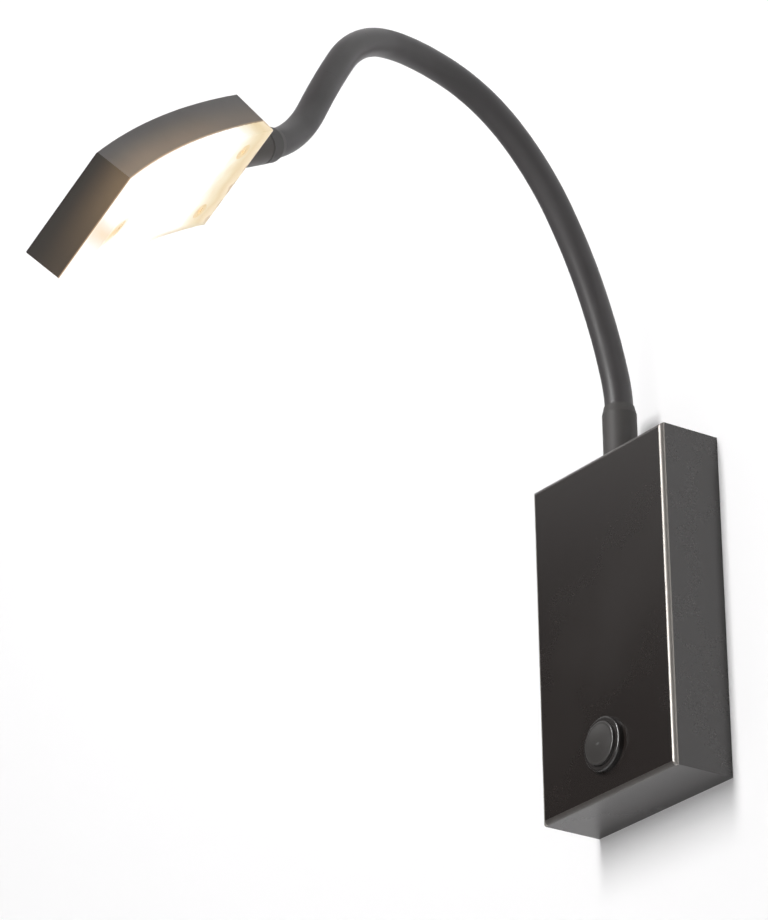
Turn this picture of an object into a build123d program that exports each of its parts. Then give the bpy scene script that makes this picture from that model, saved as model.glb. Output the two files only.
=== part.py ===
from build123d import *
import math
import os

# Bedside wall reading lamp: a folded steel case on the wall, a bendable sleeved neck and an arched LED head.
# Millimetres, +Z up, -Y out from the wall, +X to the right for someone who faces the wall.
# The origin is the middle of the wall plate's back face. Each node is one STEP file in parts/.

os.makedirs("parts", exist_ok=True)

# ---------------------------------------------------------------- driving dimensions
# case, folded from sheet and open at the back
case_width = 70.0
case_height = 120.0
case_depth = 24.0
case_wall = 1.2
case_fold_radius = 1.6
lip_height = 5.0
lip_end_gap = 4.0

# wall plate
plate_thickness = 1.5
plate_gap = 0.3
wall_slot_width = 5.0
wall_slot_length = 12.0
wall_slot_from_end = 18.0
finger_width = 12.0
finger_length = 8.5
finger_from_side = 13.0
tab_width = 14.0
tab_reach = 12.0
cover_screw_from_side = 11.0
cover_screw_from_wall = 7.0

# screws: (shank radius, head radius, head height)
screw_m3 = (1.5, 2.75, 1.8)
screw_m25 = (1.25, 2.25, 1.5)
screw_m4 = (2.0, 3.8, 2.4)
screw_crown_share = 0.75
thread_clearance = 0.05
hole_clearance = 0.2
screw_tip_room = 0.5
cover_screw_length = 6.0

# neck: a steel core inside a soft sleeve, cut at the places where it bends
neck_from_wall = 13.0
sleeve_diameter = 9.7
core_diameter = 6.4
core_bore = 3.4
fit_clearance = 0.05
joint_gap = 0.2
neck_foot_length = 20.0
first_bend_length = 12.0
bend_length = 31.0
neck_tail_length = 36.0
# the photographed pose, one arc a section: how far it turns, and which way (0 is out, 90 is right)
bend_angles = (12.2, 8.7, 9.5, 17.3, 26.0, 39.4, 35.1, 7.9, 31.4)
bend_direction_angles = (0.0, 0.0, 0.0, 0.0, 0.0, 30.0, 2.6, -23.1, 175.1)
mouth_angle = 32.0
mouth_depth = 1.0
core_gap = 2.0

# metal ferrules that grip both ends of the neck
ferrule_diameter = 11.8
ferrule_taper = 3.0
ferrule_end_wall = 0.3
base_ferrule_height = 21.0
ferrule_seat = 2.0
spigot_length = 9.0
spigot_diameter = 9.7
neck_nut_flats = 14.0
neck_nut_thickness = 3.0
neck_washer_diameter = 16.0
neck_washer_thickness = 1.0
washer_tooth_count = 12
washer_notch_depth = 1.2
washer_notch_width = 1.2

# push switch
switch_above_bottom = 17.5
bezel_diameter = 18.75
bezel_height = 2.0
bezel_edge_radius = 0.7
barrel_diameter = 15.9
barrel_length = 12.5
cap_diameter = 14.8
cap_proud = 1.0
cap_dome = 0.5
cap_dome_rim = 1.0
cap_edge_radius = 0.5
cap_thickness = 5.0
cap_travel = 2.0
stem_diameter = 4.9
stem_length = 9.8
pocket_diameter = 7.8
pocket_floor = 3.0
cap_bore_depth = 7.0
spring_wire = 0.6
spring_diameter = 6.6
spring_turns = 4
switch_nut_flats = 19.0
switch_nut_thickness = 3.0
switch_body_width = 14.4
switch_body_depth = 5.0
switch_body_chamfer = 0.8
stem_end_room = 1.0
switch_tab_width = 3.0
switch_tab_length = 5.0
switch_tab_thickness = 0.8
switch_tab_spacing = 6.0

# LED driver
driver_width = 46.0
driver_height = 40.0
driver_depth = 16.5
driver_corner_radius = 2.0
driver_chamfer = 0.6
driver_lid_depth = 3.0
driver_line_width = 0.6
driver_line_depth = 0.4
driver_vent_count = 7
driver_vent_pitch = 4.5
driver_vent_width = 1.5
driver_vent_length = 16.0
driver_vent_depth = 1.0
driver_ear = 8.0
driver_ear_lap = 1.0
driver_ear_thickness = 2.5
# how much of the room between the terminal block and the neck's spigot is left below the driver
driver_low_share = 0.28

# terminal block
pole_pitch = 8.5
pole_count = 3
terminal_width = 17.0
terminal_depth = 13.0
terminal_from_left = 4.0
terminal_above_switch = 6.3
terminal_chamfer = 0.8
insert_size = 5.0
insert_length = 13.0
wire_hole = 3.0
insert_screw_spacing = 7.0

# supply entry and cord clamp
entry_from_side = 15.0
entry_above_clamp = 20.5
grommet_bore = 8.0
grommet_barrel = 14.0
grommet_flange = 18.0
grommet_flange_thickness = 2.0
grommet_chamfer = 0.8
clamp_above_bottom = 17.5
clamp_width = 23.0
clamp_height = 8.0
clamp_thickness = 2.0
clamp_arch = 6.5
clamp_foot = 7.0

# earth tag
earth_from_side = 11.0
earth_tag_thickness = 0.8
earth_tag_radius = 4.0
earth_tongue_width = 2.4
earth_tongue_length = 3.0
earth_barrel_length = 5.0
earth_barrel_radius = 1.7
earth_barrel_end = 1.0

# wires: each leaves what it joins by a straight run before it bends
wire_diameter = 1.8
wire_bend = 3.0
wire_run = 5.0
wire_run_by_driver = 3.5
wire_side_step = 4.0
lead_diameter = 2.8
lead_bend = 4.0
lead_run = 1.5
lead_board_lap = 5.0

# head
head_length = 100.0
head_width = 40.0
head_skirt = 12.5
head_rise = 3.2
head_wall = 1.5
head_edge_radius = 0.5
head_roll_angle = 31.9
lens_thickness = 4.5
lens_edge_radius = 0.4
lens_tray_depth = 1.2
lens_tray_wall = 1.5
lens_screw_inset = 11.5
lens_screw_spacing = 24.8
lens_screw_length = 12.0
lens_head_radius = 3.0
lens_sink = 1.8
post_diameter = 6.0
coupling_length = 27.5
coupling_flange = 14.0
coupling_flange_thickness = 2.0
coupling_flange_slope = 3.0
coupling_groove = 0.5
coupling_groove_width = 1.2
coupling_spigot = 6.0
coupling_spigot_length = 6.5
coupling_bore = 3.6
head_nut_flats = 9.0
head_nut_thickness = 3.0
ferrule_core_depth = 8.0

# light engine
heat_plate_side_gap = 1.5
heat_plate_rim = 0.8
heat_plate_thickness = 2.0
board_post_gap = 2.8
board_width = 28.0
board_thickness = 1.6
board_screw_from_end = 10.0
board_screw_grip = 2.5
chip_size = 5.0
chip_height = 1.0
chip_rows = 2
chip_columns = 4
chip_row_pitch = 15.0
chip_pitch = 14.0

# ---------------------------------------------------------------- values worked out from them
half_width = case_width / 2
half_height = case_height / 2
inside_width = case_width - 2 * case_wall
front_inside = -(case_depth - case_wall)
top_inside = half_height - case_wall
sleeve_radius = sleeve_diameter / 2
core_radius = core_diameter / 2
plate_width = inside_width - 2 * plate_gap
plate_top = top_inside - plate_gap
plate_bottom = -top_inside + lip_height + plate_gap
wall_slot_spacing = case_height - 2 * wall_slot_from_end
finger_spacing = case_width - 2 * finger_from_side
cover_screw_spacing = case_width - 2 * cover_screw_from_side

switch_z = -half_height + switch_above_bottom
shoulder = cap_bore_depth - bezel_height
pocket_depth = barrel_length - pocket_floor
cap_back = cap_thickness - bezel_height - cap_proud

clamp_z = -half_height + clamp_above_bottom
clamp_screw_offset = (clamp_width - clamp_foot + clamp_thickness) / 2
entry_x = half_width - entry_from_side
entry_z = clamp_z + entry_above_clamp

terminal_bottom = switch_z + switch_body_width / 2 + terminal_above_switch
terminal_top = terminal_bottom + terminal_width
terminal_z = (terminal_bottom + terminal_top) / 2
terminal_length = pole_count * pole_pitch
terminal_left = -inside_width / 2 + terminal_from_left
terminal_front = -(plate_thickness + terminal_depth)
terminal_middle_depth = -(plate_thickness + terminal_depth / 2)
pole_centres = [terminal_left + pole_pitch * (i + 0.5) for i in range(pole_count)]
barrier_centres = [terminal_left + pole_pitch * i for i in range(1, pole_count)]

# the earth wire takes one bend below the terminal block and one into the tag's barrel
earth_run_z = terminal_bottom - wire_bend
earth_barrel_mouth = earth_run_z - wire_bend
earth_x = -half_width + earth_from_side
earth_z = earth_barrel_mouth - earth_barrel_length - earth_barrel_end - earth_tag_radius

spigot_end = half_height - spigot_length
driver_bottom = terminal_top + driver_low_share * (spigot_end - terminal_top - driver_height)
driver_top = driver_bottom + driver_height
driver_middle = (driver_bottom + driver_top) / 2
driver_front = -(plate_thickness + driver_depth)
driver_ear_x = (driver_width + driver_ear) / 2 - driver_ear_lap
driver_ear_rise = (driver_height - driver_ear) / 2
driver_ear_centres = [
    (-driver_ear_x, driver_middle + driver_ear_rise), (driver_ear_x, driver_middle - driver_ear_rise),
]


# ---------------------------------------------------------------- helpers
def save(node, shape):
    """Write one node to its STEP file."""
    shape.label = node
    export_step(shape, f"parts/{node}.step")


def box(x_range, y_range, z_range):
    """A block between two corners, given as one range an axis."""
    size = [high - low for low, high in (x_range, y_range, z_range)]
    middle = [(high + low) / 2 for low, high in (x_range, y_range, z_range)]
    return Pos(*middle) * Box(*size)


def towards_wall(x, y, z):
    """A place whose own Z runs into the wall, for what is turned about a Y axis."""
    return Pos(x, y, z) * Rot(-90, 0, 0)


def cylinder(place, radius, length, start=0.0):
    """A cylinder along a place's own Z, from start to start + length."""
    return place * Pos(0, 0, start + length / 2) * Cylinder(radius, length)


def hexagon_nut(place, flats, thickness, hole_radius):
    """A hexagon nut that stands on a place, along its own Z."""
    outline = RegularPolygon(flats / 2, 6, major_radius=False) - Circle(hole_radius)
    return place * extrude(outline, thickness)


def pan_screw(place, screw, length):
    """A pan-head screw: its head rises along the place's own Z and its shank runs back."""
    shank_radius, head_radius, head_height = screw
    outline = Polyline(
        (0, -length), (shank_radius, -length), (shank_radius, 0), (head_radius, 0),
        (head_radius, head_height / 2), (head_radius * screw_crown_share, head_height), (0, head_height),
        close=True,
    )
    return place * revolve(Plane.XZ * make_face(outline), Axis.Z)


def path_tube(points, radius, bend):
    """A wire: straight runs between points, joined by arcs of one bend radius."""
    path = FilletPolyline(*points, radius=bend) if len(points) > 2 else Polyline(*points)
    start = Plane(origin=path @ 0, z_dir=path % 0)
    return sweep(start * Circle(radius), path=path)


# ---------------------------------------------------------------- neck route
def bend_end(start, length, turn, toward):
    """Where an arc that leaves start along its Z ends, after it has turned that far that way."""
    if turn == 0:
        return start * Pos(0, 0, length)
    radius = length / math.radians(turn)
    swung = start * Rot(0, 0, toward) * Pos(0, -radius, 0)
    return swung * Rot(turn, 0, 0) * Pos(0, radius, 0) * Rot(0, 0, -toward)


def bend_rod(start, radius, length, turn, toward):
    """A solid rod along one arc of the neck."""
    if turn == 0:
        return start * extrude(Circle(radius), length)
    hinge = Axis((0, -length / math.radians(turn), 0), (1, 0, 0))
    return start * Rot(0, 0, toward) * revolve(Circle(radius), hinge, turn)


def rod(start, radius, runs):
    """A solid rod along several arcs, one after the other."""
    solid = None
    for run in runs:
        piece = bend_rod(start, radius, *run)
        solid = piece if solid is None else solid + piece
        start = bend_end(start, *run)
    return solid


def trimmed(start, run, front, back):
    """An arc without its ends: where it now starts, and its shorter run."""
    length, turn, toward = run
    kept = length - front - back
    start = bend_end(start, front, turn * front / length, toward)
    return start, (kept, turn * kept / length, toward)


def sleeve_nose(place):
    """The turned nose of a sleeve section: round outside, its mouth as wide as the core swings."""
    bore = core_radius + fit_clearance
    slope = math.tan(math.radians(mouth_angle))
    # the mouth's cone meets the round nose at this height above the nose's centre
    waist = bore + mouth_depth * slope
    tip = (math.sqrt(sleeve_radius**2 * (1 + slope**2) - waist**2) - waist * slope) / (1 + slope**2)
    tip_radius = waist + tip * slope
    half_angle = math.asin(tip / sleeve_radius) / 2
    outline = Curve() + [
        Polyline(
            (tip_radius, mouth_depth + tip), (bore, 0), (sleeve_radius, 0), (sleeve_radius, mouth_depth),
        ),
        ThreePointArc(
            (sleeve_radius, mouth_depth),
            (sleeve_radius * math.cos(half_angle), mouth_depth + sleeve_radius * math.sin(half_angle)),
            (tip_radius, mouth_depth + tip),
        ),
    ]
    return place * revolve(Plane.XZ * make_face(outline), Axis.Z)


def sleeve_section(start, runs, has_cup, has_nose):
    """A length of sleeve: its cup turns on the nose of the one before."""
    end = start
    if has_nose:
        last_start = start
        for run in runs[:-1]:
            last_start = bend_end(last_start, *run)
        runs = runs[:-1] + [trimmed(last_start, runs[-1], 0, mouth_depth)[1]]
    for run in runs:
        end = bend_end(end, *run)
    solid = rod(start, sleeve_radius, runs) - rod(start, core_radius + fit_clearance, runs)
    if has_nose:
        solid += sleeve_nose(end)
    if has_cup:
        solid -= start * Sphere(sleeve_radius + joint_gap)
    return solid


def core_section(start, runs):
    """A length of core: a steel tube."""
    return rod(start, core_radius, runs) - rod(start, core_bore / 2, runs)


neck_foot = Pos(0, -neck_from_wall, half_height)
bend_lengths = (first_bend_length,) + (bend_length,) * (len(bend_angles) - 1)
bends = tuple(zip(bend_lengths, bend_angles, bend_direction_angles))

joints = []
here = bend_end(neck_foot, neck_foot_length, 0, 0)
for bend in bends:
    here = bend_end(here, *bend)
    joints.append(here)
neck_tail = joints.pop()
head_frame = bend_end(neck_tail, neck_tail_length, 0, 0) * Rot(0, 0, head_roll_angle)


# ---------------------------------------------------------------- case
def case_cover():
    """The folded case: front, sides, top and bottom, with a lip that hooks behind the wall plate."""
    shell = box((-half_width, half_width), (-case_depth, 0), (-half_height, half_height))
    front = shell.faces().sort_by(Axis.Y)[0]
    shell = fillet(front.edges(), case_fold_radius)
    hollow = box((-inside_width / 2, inside_width / 2), (front_inside, 0), (-top_inside, top_inside))
    front = hollow.faces().sort_by(Axis.Y)[0]
    shell -= fillet(front.edges(), case_fold_radius - case_wall)
    lip_half = inside_width / 2 - lip_end_gap
    shell += box((-lip_half, lip_half), (-case_wall, 0), (-top_inside, -top_inside + lip_height))
    top = Pos(0, -neck_from_wall, top_inside)
    shell -= cylinder(top, spigot_diameter / 2 + hole_clearance, case_wall)
    shell -= cylinder(towards_wall(0, -case_depth, switch_z), barrel_diameter / 2 + hole_clearance, case_wall)
    for side in (-1, 1):
        place = Pos(side * cover_screw_spacing / 2, -cover_screw_from_wall, top_inside)
        shell -= cylinder(place, screw_m3[0] + hole_clearance, case_wall)
    return shell


def screw_sites():
    """Where the plate is tapped: each place looks out of the plate's front, with its screw."""
    sites = [(x, z, screw_m3) for x, z in driver_ear_centres]
    sites += [(x, terminal_z, screw_m25) for x in barrier_centres]
    sites += [(entry_x + side * clamp_screw_offset, clamp_z, screw_m25) for side in (-1, 1)]
    sites.append((earth_x, earth_z, screw_m4))
    return sites


def wall_plate():
    """The pressed plate that is screwed to the wall, with tabs for the cover and fingers for its lip."""
    plate = box((-plate_width / 2, plate_width / 2), (-plate_thickness, 0), (plate_bottom, plate_top))
    for side in (-1, 1):
        middle = side * cover_screw_spacing / 2
        across = (middle - tab_width / 2, middle + tab_width / 2)
        plate += box(across, (-tab_reach, -plate_thickness), (plate_top - plate_thickness, plate_top))
        middle = side * finger_spacing / 2
        across = (middle - finger_width / 2, middle + finger_width / 2)
        low = -top_inside + plate_gap
        plate += box(across, (-2 * plate_thickness, -plate_thickness), (low, low + finger_length))
        slot = extrude(SlotOverall(wall_slot_length, wall_slot_width, rotation=90), plate_thickness)
        plate -= towards_wall(0, -plate_thickness, side * wall_slot_spacing / 2) * slot
        tapped = Pos(side * cover_screw_spacing / 2, -cover_screw_from_wall, plate_top - plate_thickness)
        plate -= cylinder(tapped, screw_m3[0] + thread_clearance, plate_thickness)
    for x, z, screw in screw_sites():
        plate -= cylinder(towards_wall(x, -plate_thickness, z), screw[0] + thread_clearance, plate_thickness)
    entry = towards_wall(entry_x, -plate_thickness, entry_z)
    return plate - cylinder(entry, grommet_barrel / 2 + fit_clearance, plate_thickness)


def cover_screws():
    """The two screws through the top of the case into the plate's tabs."""
    sides = (-1, 1)
    places = [Pos(s * cover_screw_spacing / 2, -cover_screw_from_wall, half_height) for s in sides]
    return Compound(children=[pan_screw(place, screw_m3, cover_screw_length) for place in places])


# ---------------------------------------------------------------- supply side
def cable_grommet():
    """The bush that lines the supply entry, flanged on the inside of the plate."""
    place = towards_wall(entry_x, -plate_thickness - grommet_flange_thickness, entry_z)
    bush = cylinder(place, grommet_flange / 2, grommet_flange_thickness)
    rim = bush.edges().filter_by(GeomType.CIRCLE).sort_by(Axis.Y)[0]
    bush = chamfer(rim, grommet_chamfer)
    bush += cylinder(place, grommet_barrel / 2, plate_thickness, grommet_flange_thickness)
    return bush - cylinder(place, grommet_bore / 2, plate_thickness + grommet_flange_thickness)


def cable_clamp():
    """The saddle that holds the supply cord against the plate."""
    half = clamp_width / 2
    inner = half - clamp_foot
    under_arch = clamp_arch - clamp_thickness
    outline = Polyline(
        (-half, 0), (-inner, 0), (-inner + clamp_thickness, under_arch),
        (inner - clamp_thickness, under_arch), (inner, 0), (half, 0), (half, clamp_thickness),
        (inner + clamp_thickness, clamp_thickness),
        (inner, clamp_arch), (-inner, clamp_arch), (-inner - clamp_thickness, clamp_thickness),
        (-half, clamp_thickness), close=True,
    )
    saddle = extrude(Plane.XZ * make_face(outline), clamp_height / 2, both=True)
    place = Pos(entry_x, -plate_thickness, clamp_z) * Rot(90, 0, 0)
    for side in (-1, 1):
        hole = Pos(side * clamp_screw_offset, 0, 0)
        saddle -= cylinder(hole, screw_m25[0] + hole_clearance, clamp_thickness)
    return place * saddle


def cable_clamp_screws():
    """The saddle's two screws."""
    depth = plate_thickness + clamp_thickness
    places = [
        Pos(entry_x + side * clamp_screw_offset, -depth, clamp_z) * Rot(90, 0, 0) for side in (-1, 1)
    ]
    return Compound(children=[pan_screw(place, screw_m25, depth) for place in places])


def terminal_block():
    """The moulded block: a passage for each pole's insert, and a screw well over each end of it."""
    x_range = (terminal_left, terminal_left + terminal_length)
    z_range = (terminal_bottom, terminal_top)
    passage_range = (terminal_z - insert_length / 2, terminal_z + insert_length / 2)
    block = box(x_range, (terminal_front, -plate_thickness), z_range)
    block = chamfer(block.faces().sort_by(Axis.Y)[0].edges(), terminal_chamfer)
    for x in pole_centres:
        half = insert_size / 2 + fit_clearance
        y_range = (terminal_middle_depth - half, terminal_middle_depth + half)
        block -= box((x - half, x + half), y_range, passage_range)
        block -= cylinder(Pos(x, terminal_middle_depth, z_range[0]), wire_hole / 2, terminal_width)
        for side in (-1, 1):
            well = towards_wall(x, terminal_front, terminal_z + side * insert_screw_spacing / 2)
            depth = terminal_middle_depth - half - terminal_front
            block -= cylinder(well, screw_m25[1] + hole_clearance / 2, depth)
    for x in barrier_centres:
        well = towards_wall(x, terminal_front, terminal_z)
        block -= cylinder(well, screw_m25[0] + hole_clearance, terminal_depth)
    return block


def terminal_inserts():
    """The brass inserts, one a pole, bored for the wires and tapped for two screws."""
    inserts = []
    half = insert_size / 2
    low = terminal_z - insert_length / 2
    for x in pole_centres:
        y_range = (terminal_middle_depth - half, terminal_middle_depth + half)
        insert = box((x - half, x + half), y_range, (low, low + insert_length))
        insert -= cylinder(Pos(x, terminal_middle_depth, low), wire_hole / 2, insert_length)
        for side in (-1, 1):
            tapped = towards_wall(x, y_range[0], terminal_z + side * insert_screw_spacing / 2)
            insert -= cylinder(tapped, screw_m25[0] + thread_clearance, half)
        inserts.append(insert)
    return Compound(children=inserts)


def terminal_screws():
    """The six clamping screws, down in their wells."""
    screws = []
    seat = terminal_middle_depth - insert_size / 2 - hole_clearance
    for x in pole_centres:
        for side in (-1, 1):
            place = Pos(x, seat, terminal_z + side * insert_screw_spacing / 2) * Rot(90, 0, 0)
            screws.append(pan_screw(place, screw_m25, insert_size / 2 - wire_diameter / 4))
    return Compound(children=screws)


def terminal_fixing_screws():
    """The two screws that hold the block to the plate, through the walls between its poles."""
    places = [Pos(x, terminal_front, terminal_z) * Rot(90, 0, 0) for x in barrier_centres]
    length = terminal_depth + plate_thickness
    return Compound(children=[pan_screw(place, screw_m25, length) for place in places])


def earth_tag():
    """The ring tag on the earth wire, with its crimped barrel."""
    place = Pos(earth_x, -plate_thickness, earth_z) * Rot(90, 0, 0)
    ring = cylinder(place, earth_tag_radius, earth_tag_thickness)
    tongue = Box(earth_tongue_width, earth_tongue_length, earth_tag_thickness)
    tongue = place * Pos(0, earth_tag_radius, earth_tag_thickness / 2) * tongue
    barrel_start = place * Pos(0, earth_tag_radius + earth_barrel_end, earth_barrel_radius) * Rot(-90, 0, 0)
    tag = ring + tongue + cylinder(barrel_start, earth_barrel_radius, earth_barrel_length)
    crimp_length = earth_barrel_length - earth_barrel_end
    tag -= cylinder(barrel_start, wire_diameter / 2 + fit_clearance, crimp_length, earth_barrel_end)
    return tag - cylinder(place, screw_m4[0] + hole_clearance, earth_tag_thickness)


def earth_screw():
    """The screw that bonds the earth tag to the plate."""
    place = Pos(earth_x, -plate_thickness - earth_tag_thickness, earth_z) * Rot(90, 0, 0)
    return pan_screw(place, screw_m4, plate_thickness + earth_tag_thickness)


# ---------------------------------------------------------------- driver
def driver_case():
    """The driver's moulded case, with a lid line, vents in its lid and an ear at two corners."""
    middle = Pos(0, driver_front, driver_middle) * Rot(-90, 0, 0)
    case = middle * extrude(Rectangle(driver_width, driver_height), driver_depth)
    case = fillet(case.edges().filter_by(Axis.Y), driver_corner_radius)
    case = chamfer(case.faces().sort_by(Axis.Y)[0].edges(), driver_chamfer)
    within = Rectangle(driver_width - 2 * driver_line_depth, driver_height - 2 * driver_line_depth)
    lid_line = extrude(Rectangle(driver_width, driver_height) - within, driver_line_width)
    case -= middle * Pos(0, 0, driver_lid_depth) * lid_line
    for i in range(driver_vent_count):
        x = (i - (driver_vent_count - 1) / 2) * driver_vent_pitch
        case -= middle * Pos(x, 0, 0) * Box(driver_vent_width, driver_vent_length, 2 * driver_vent_depth)
    ear_front = -plate_thickness - driver_ear_thickness
    ear = extrude(Rectangle(driver_ear, driver_ear), driver_ear_thickness)
    for x, z in driver_ear_centres:
        place = towards_wall(x, ear_front, z)
        case += place * ear
        case -= cylinder(place, screw_m3[0] + hole_clearance, driver_ear_thickness)
    return case


def driver_screws():
    """The two screws through the driver's ears."""
    depth = plate_thickness + driver_ear_thickness
    places = [Pos(x, -depth, z) * Rot(90, 0, 0) for x, z in driver_ear_centres]
    return Compound(children=[pan_screw(place, screw_m3, depth) for place in places])


# ---------------------------------------------------------------- push switch
switch_face = towards_wall(0, -case_depth, switch_z)


def switch_bezel():
    """The switch's bush: a raised ring on the case front and a threaded barrel behind it."""
    ring = cylinder(switch_face, bezel_diameter / 2, bezel_height, -bezel_height)
    ring = fillet(ring.edges().filter_by(GeomType.CIRCLE).sort_by(Axis.Y)[0], bezel_edge_radius)
    bush = ring + cylinder(switch_face, barrel_diameter / 2, barrel_length)
    bush -= cylinder(switch_face, cap_diameter / 2 + fit_clearance, cap_bore_depth, -bezel_height)
    bush -= cylinder(switch_face, pocket_diameter / 2, pocket_depth - shoulder, shoulder)
    bush -= cylinder(switch_face, stem_diameter / 2 + fit_clearance, pocket_floor, pocket_depth)
    return bush


def switch_cap():
    """The button: a shallow dome on a guide stem."""
    rise = bezel_height + cap_proud
    cap = cylinder(switch_face, cap_diameter / 2, cap_thickness, -rise)
    edge = cap.edges().filter_by(GeomType.CIRCLE).sort_by(Axis.Y)[0]
    cap = fillet(edge, cap_edge_radius)
    dome_half = cap_diameter / 2 - cap_dome_rim
    dome_radius = (dome_half**2 + cap_dome**2) / (2 * cap_dome)
    ball = switch_face * Pos(0, 0, dome_radius - rise - cap_dome) * Sphere(dome_radius)
    cap += ball & cylinder(switch_face, cap_diameter / 2, cap_dome + cap_edge_radius, -rise - cap_dome)
    return cap + cylinder(switch_face, stem_diameter / 2, stem_length, cap_back)


def switch_nut():
    """The nut that holds the switch's barrel from inside the case."""
    place = towards_wall(0, front_inside, switch_z)
    hole_radius = barrel_diameter / 2 + thread_clearance
    return hexagon_nut(place, switch_nut_flats, switch_nut_thickness, hole_radius)


def switch_spring():
    """The return spring round the stem, between the cap and the floor of the pocket."""
    wire_radius = spring_wire / 2
    height = pocket_depth - cap_back - spring_wire - 2 * fit_clearance
    coil = Helix(pitch=height / spring_turns, height=height, radius=spring_diameter / 2)
    start = Plane(origin=coil @ 0, z_dir=coil % 0)
    wire = sweep(start * RegularPolygon(wire_radius, 6), path=coil, is_frenet=True)
    return switch_face * Pos(0, 0, cap_back + wire_radius + fit_clearance) * wire


def switch_body():
    """The contact block behind the barrel, with the hollow that the stem travels in."""
    place = switch_face * Pos(0, 0, barrel_length)
    block = place * extrude(Rectangle(switch_body_width, switch_body_width), switch_body_depth)
    block = chamfer(block.faces().sort_by(Axis.Y)[-1].edges(), switch_body_chamfer)
    return block - cylinder(place, stem_diameter / 2 + 2 * hole_clearance, cap_travel + stem_end_room)


def switch_tabs():
    """The two solder tabs on the contact block's left side."""
    y_middle = -case_depth + barrel_length + switch_body_depth / 2
    tabs = []
    for side in (-1, 1):
        z = switch_z + side * switch_tab_spacing / 2
        x_out = -switch_body_width / 2 - switch_tab_length
        y_range = (y_middle - switch_tab_thickness / 2, y_middle + switch_tab_thickness / 2)
        z_range = (z - switch_tab_width / 2, z + switch_tab_width / 2)
        tabs.append(box((x_out, -switch_body_width / 2), y_range, z_range))
    return Compound(children=tabs)


# ---------------------------------------------------------------- wires in the case
def case_wires():
    """The wires in the case, each with the node's name: their runs follow the pieces that they join."""
    live, neutral, earth = pole_centres
    depth = terminal_middle_depth
    block_low = terminal_z - insert_length / 2 + wire_diameter
    block_high = terminal_z + insert_length / 2 - wire_diameter
    tab_x = -(switch_body_width + switch_tab_length) / 2
    tab_y = -case_depth + barrel_length + (switch_body_depth - switch_tab_thickness - wire_diameter) / 2
    tab_high = switch_z + switch_tab_spacing / 2
    tab_low = switch_z - switch_tab_spacing / 2
    lane_x = tab_x - 2 * wire_bend
    lane_y = terminal_front - 2 * wire_diameter
    driver_y = driver_front + driver_depth / 2
    barrel_low = earth_z + earth_tag_radius + 2 * earth_barrel_end
    barrel_y = -plate_thickness - earth_barrel_radius
    return {
        "live_wire": [
            (live, depth, block_low), (live, depth, tab_high + wire_run),
            (live + wire_side_step, tab_y, tab_high), (tab_x, tab_y, tab_high),
        ],
        "switched_wire": [
            (tab_x, tab_y, tab_low), (lane_x, tab_y, tab_low), (lane_x, lane_y, tab_low + wire_run),
            (lane_x, lane_y, driver_bottom - wire_run),
            (lane_x, driver_y, driver_bottom - wire_run_by_driver), (lane_x, driver_y, driver_bottom),
        ],
        "neutral_wire": [(neutral, depth, block_high), (neutral, depth, driver_bottom)],
        "earth_wire": [
            (earth, depth, block_low), (earth, depth, earth_run_z),
            (earth_x, barrel_y, earth_run_z), (earth_x, barrel_y, barrel_low),
        ],
    }


def lamp_lead():
    """The lead from the driver into the neck's core."""
    x = driver_width / 6
    y = driver_front + driver_depth / 2
    halfway = (driver_top + spigot_end) / 2
    core_end = (0, -neck_from_wall, spigot_end)
    path = Curve() + [
        Bezier((x, y, driver_top), (x, y, halfway), (0, -neck_from_wall, halfway), core_end),
        Line(core_end, (0, -neck_from_wall, half_height)),
    ]
    return sweep(Plane(origin=(x, y, driver_top)) * Circle(lead_diameter / 2), path=path)


# ---------------------------------------------------------------- neck
def ferrule_profile(height):
    """Half of a ferrule's outline above its seat: straight, then tapering on to the sleeve."""
    outer = ferrule_diameter / 2
    inner = sleeve_radius + fit_clearance
    return (outer, inner, height - ferrule_taper, height)


def base_ferrule():
    """The ferrule on the case: a collar over the sleeve and a threaded spigot through the case."""
    outer, inner, shoulder_height, height = ferrule_profile(base_ferrule_height)
    spigot = spigot_diameter / 2
    bore = core_radius + fit_clearance
    outline = Polyline(
        (bore, -spigot_length), (spigot, -spigot_length), (spigot, 0), (outer, 0), (outer, shoulder_height),
        (inner + ferrule_end_wall, height), (inner, height), (inner, ferrule_seat), (bore, ferrule_seat),
        close=True,
    )
    return neck_foot * revolve(Plane.XZ * make_face(outline), Axis.Z)


def neck_washer():
    """The toothed lock washer under the neck's nut."""
    place = Pos(0, -neck_from_wall, top_inside - neck_washer_thickness)
    outline = Circle(neck_washer_diameter / 2) - Circle(spigot_diameter / 2 + hole_clearance)
    notch = Pos(neck_washer_diameter / 2, 0) * Rectangle(2 * washer_notch_depth, washer_notch_width)
    for i in range(washer_tooth_count):
        outline -= Rot(0, 0, 360 / washer_tooth_count * i) * notch
    return place * extrude(outline, neck_washer_thickness)


def neck_nut():
    """The nut that pulls the ferrule down on the case."""
    place = Pos(0, -neck_from_wall, top_inside - neck_washer_thickness - neck_nut_thickness)
    return hexagon_nut(place, neck_nut_flats, neck_nut_thickness, spigot_diameter / 2 + thread_clearance)


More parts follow.
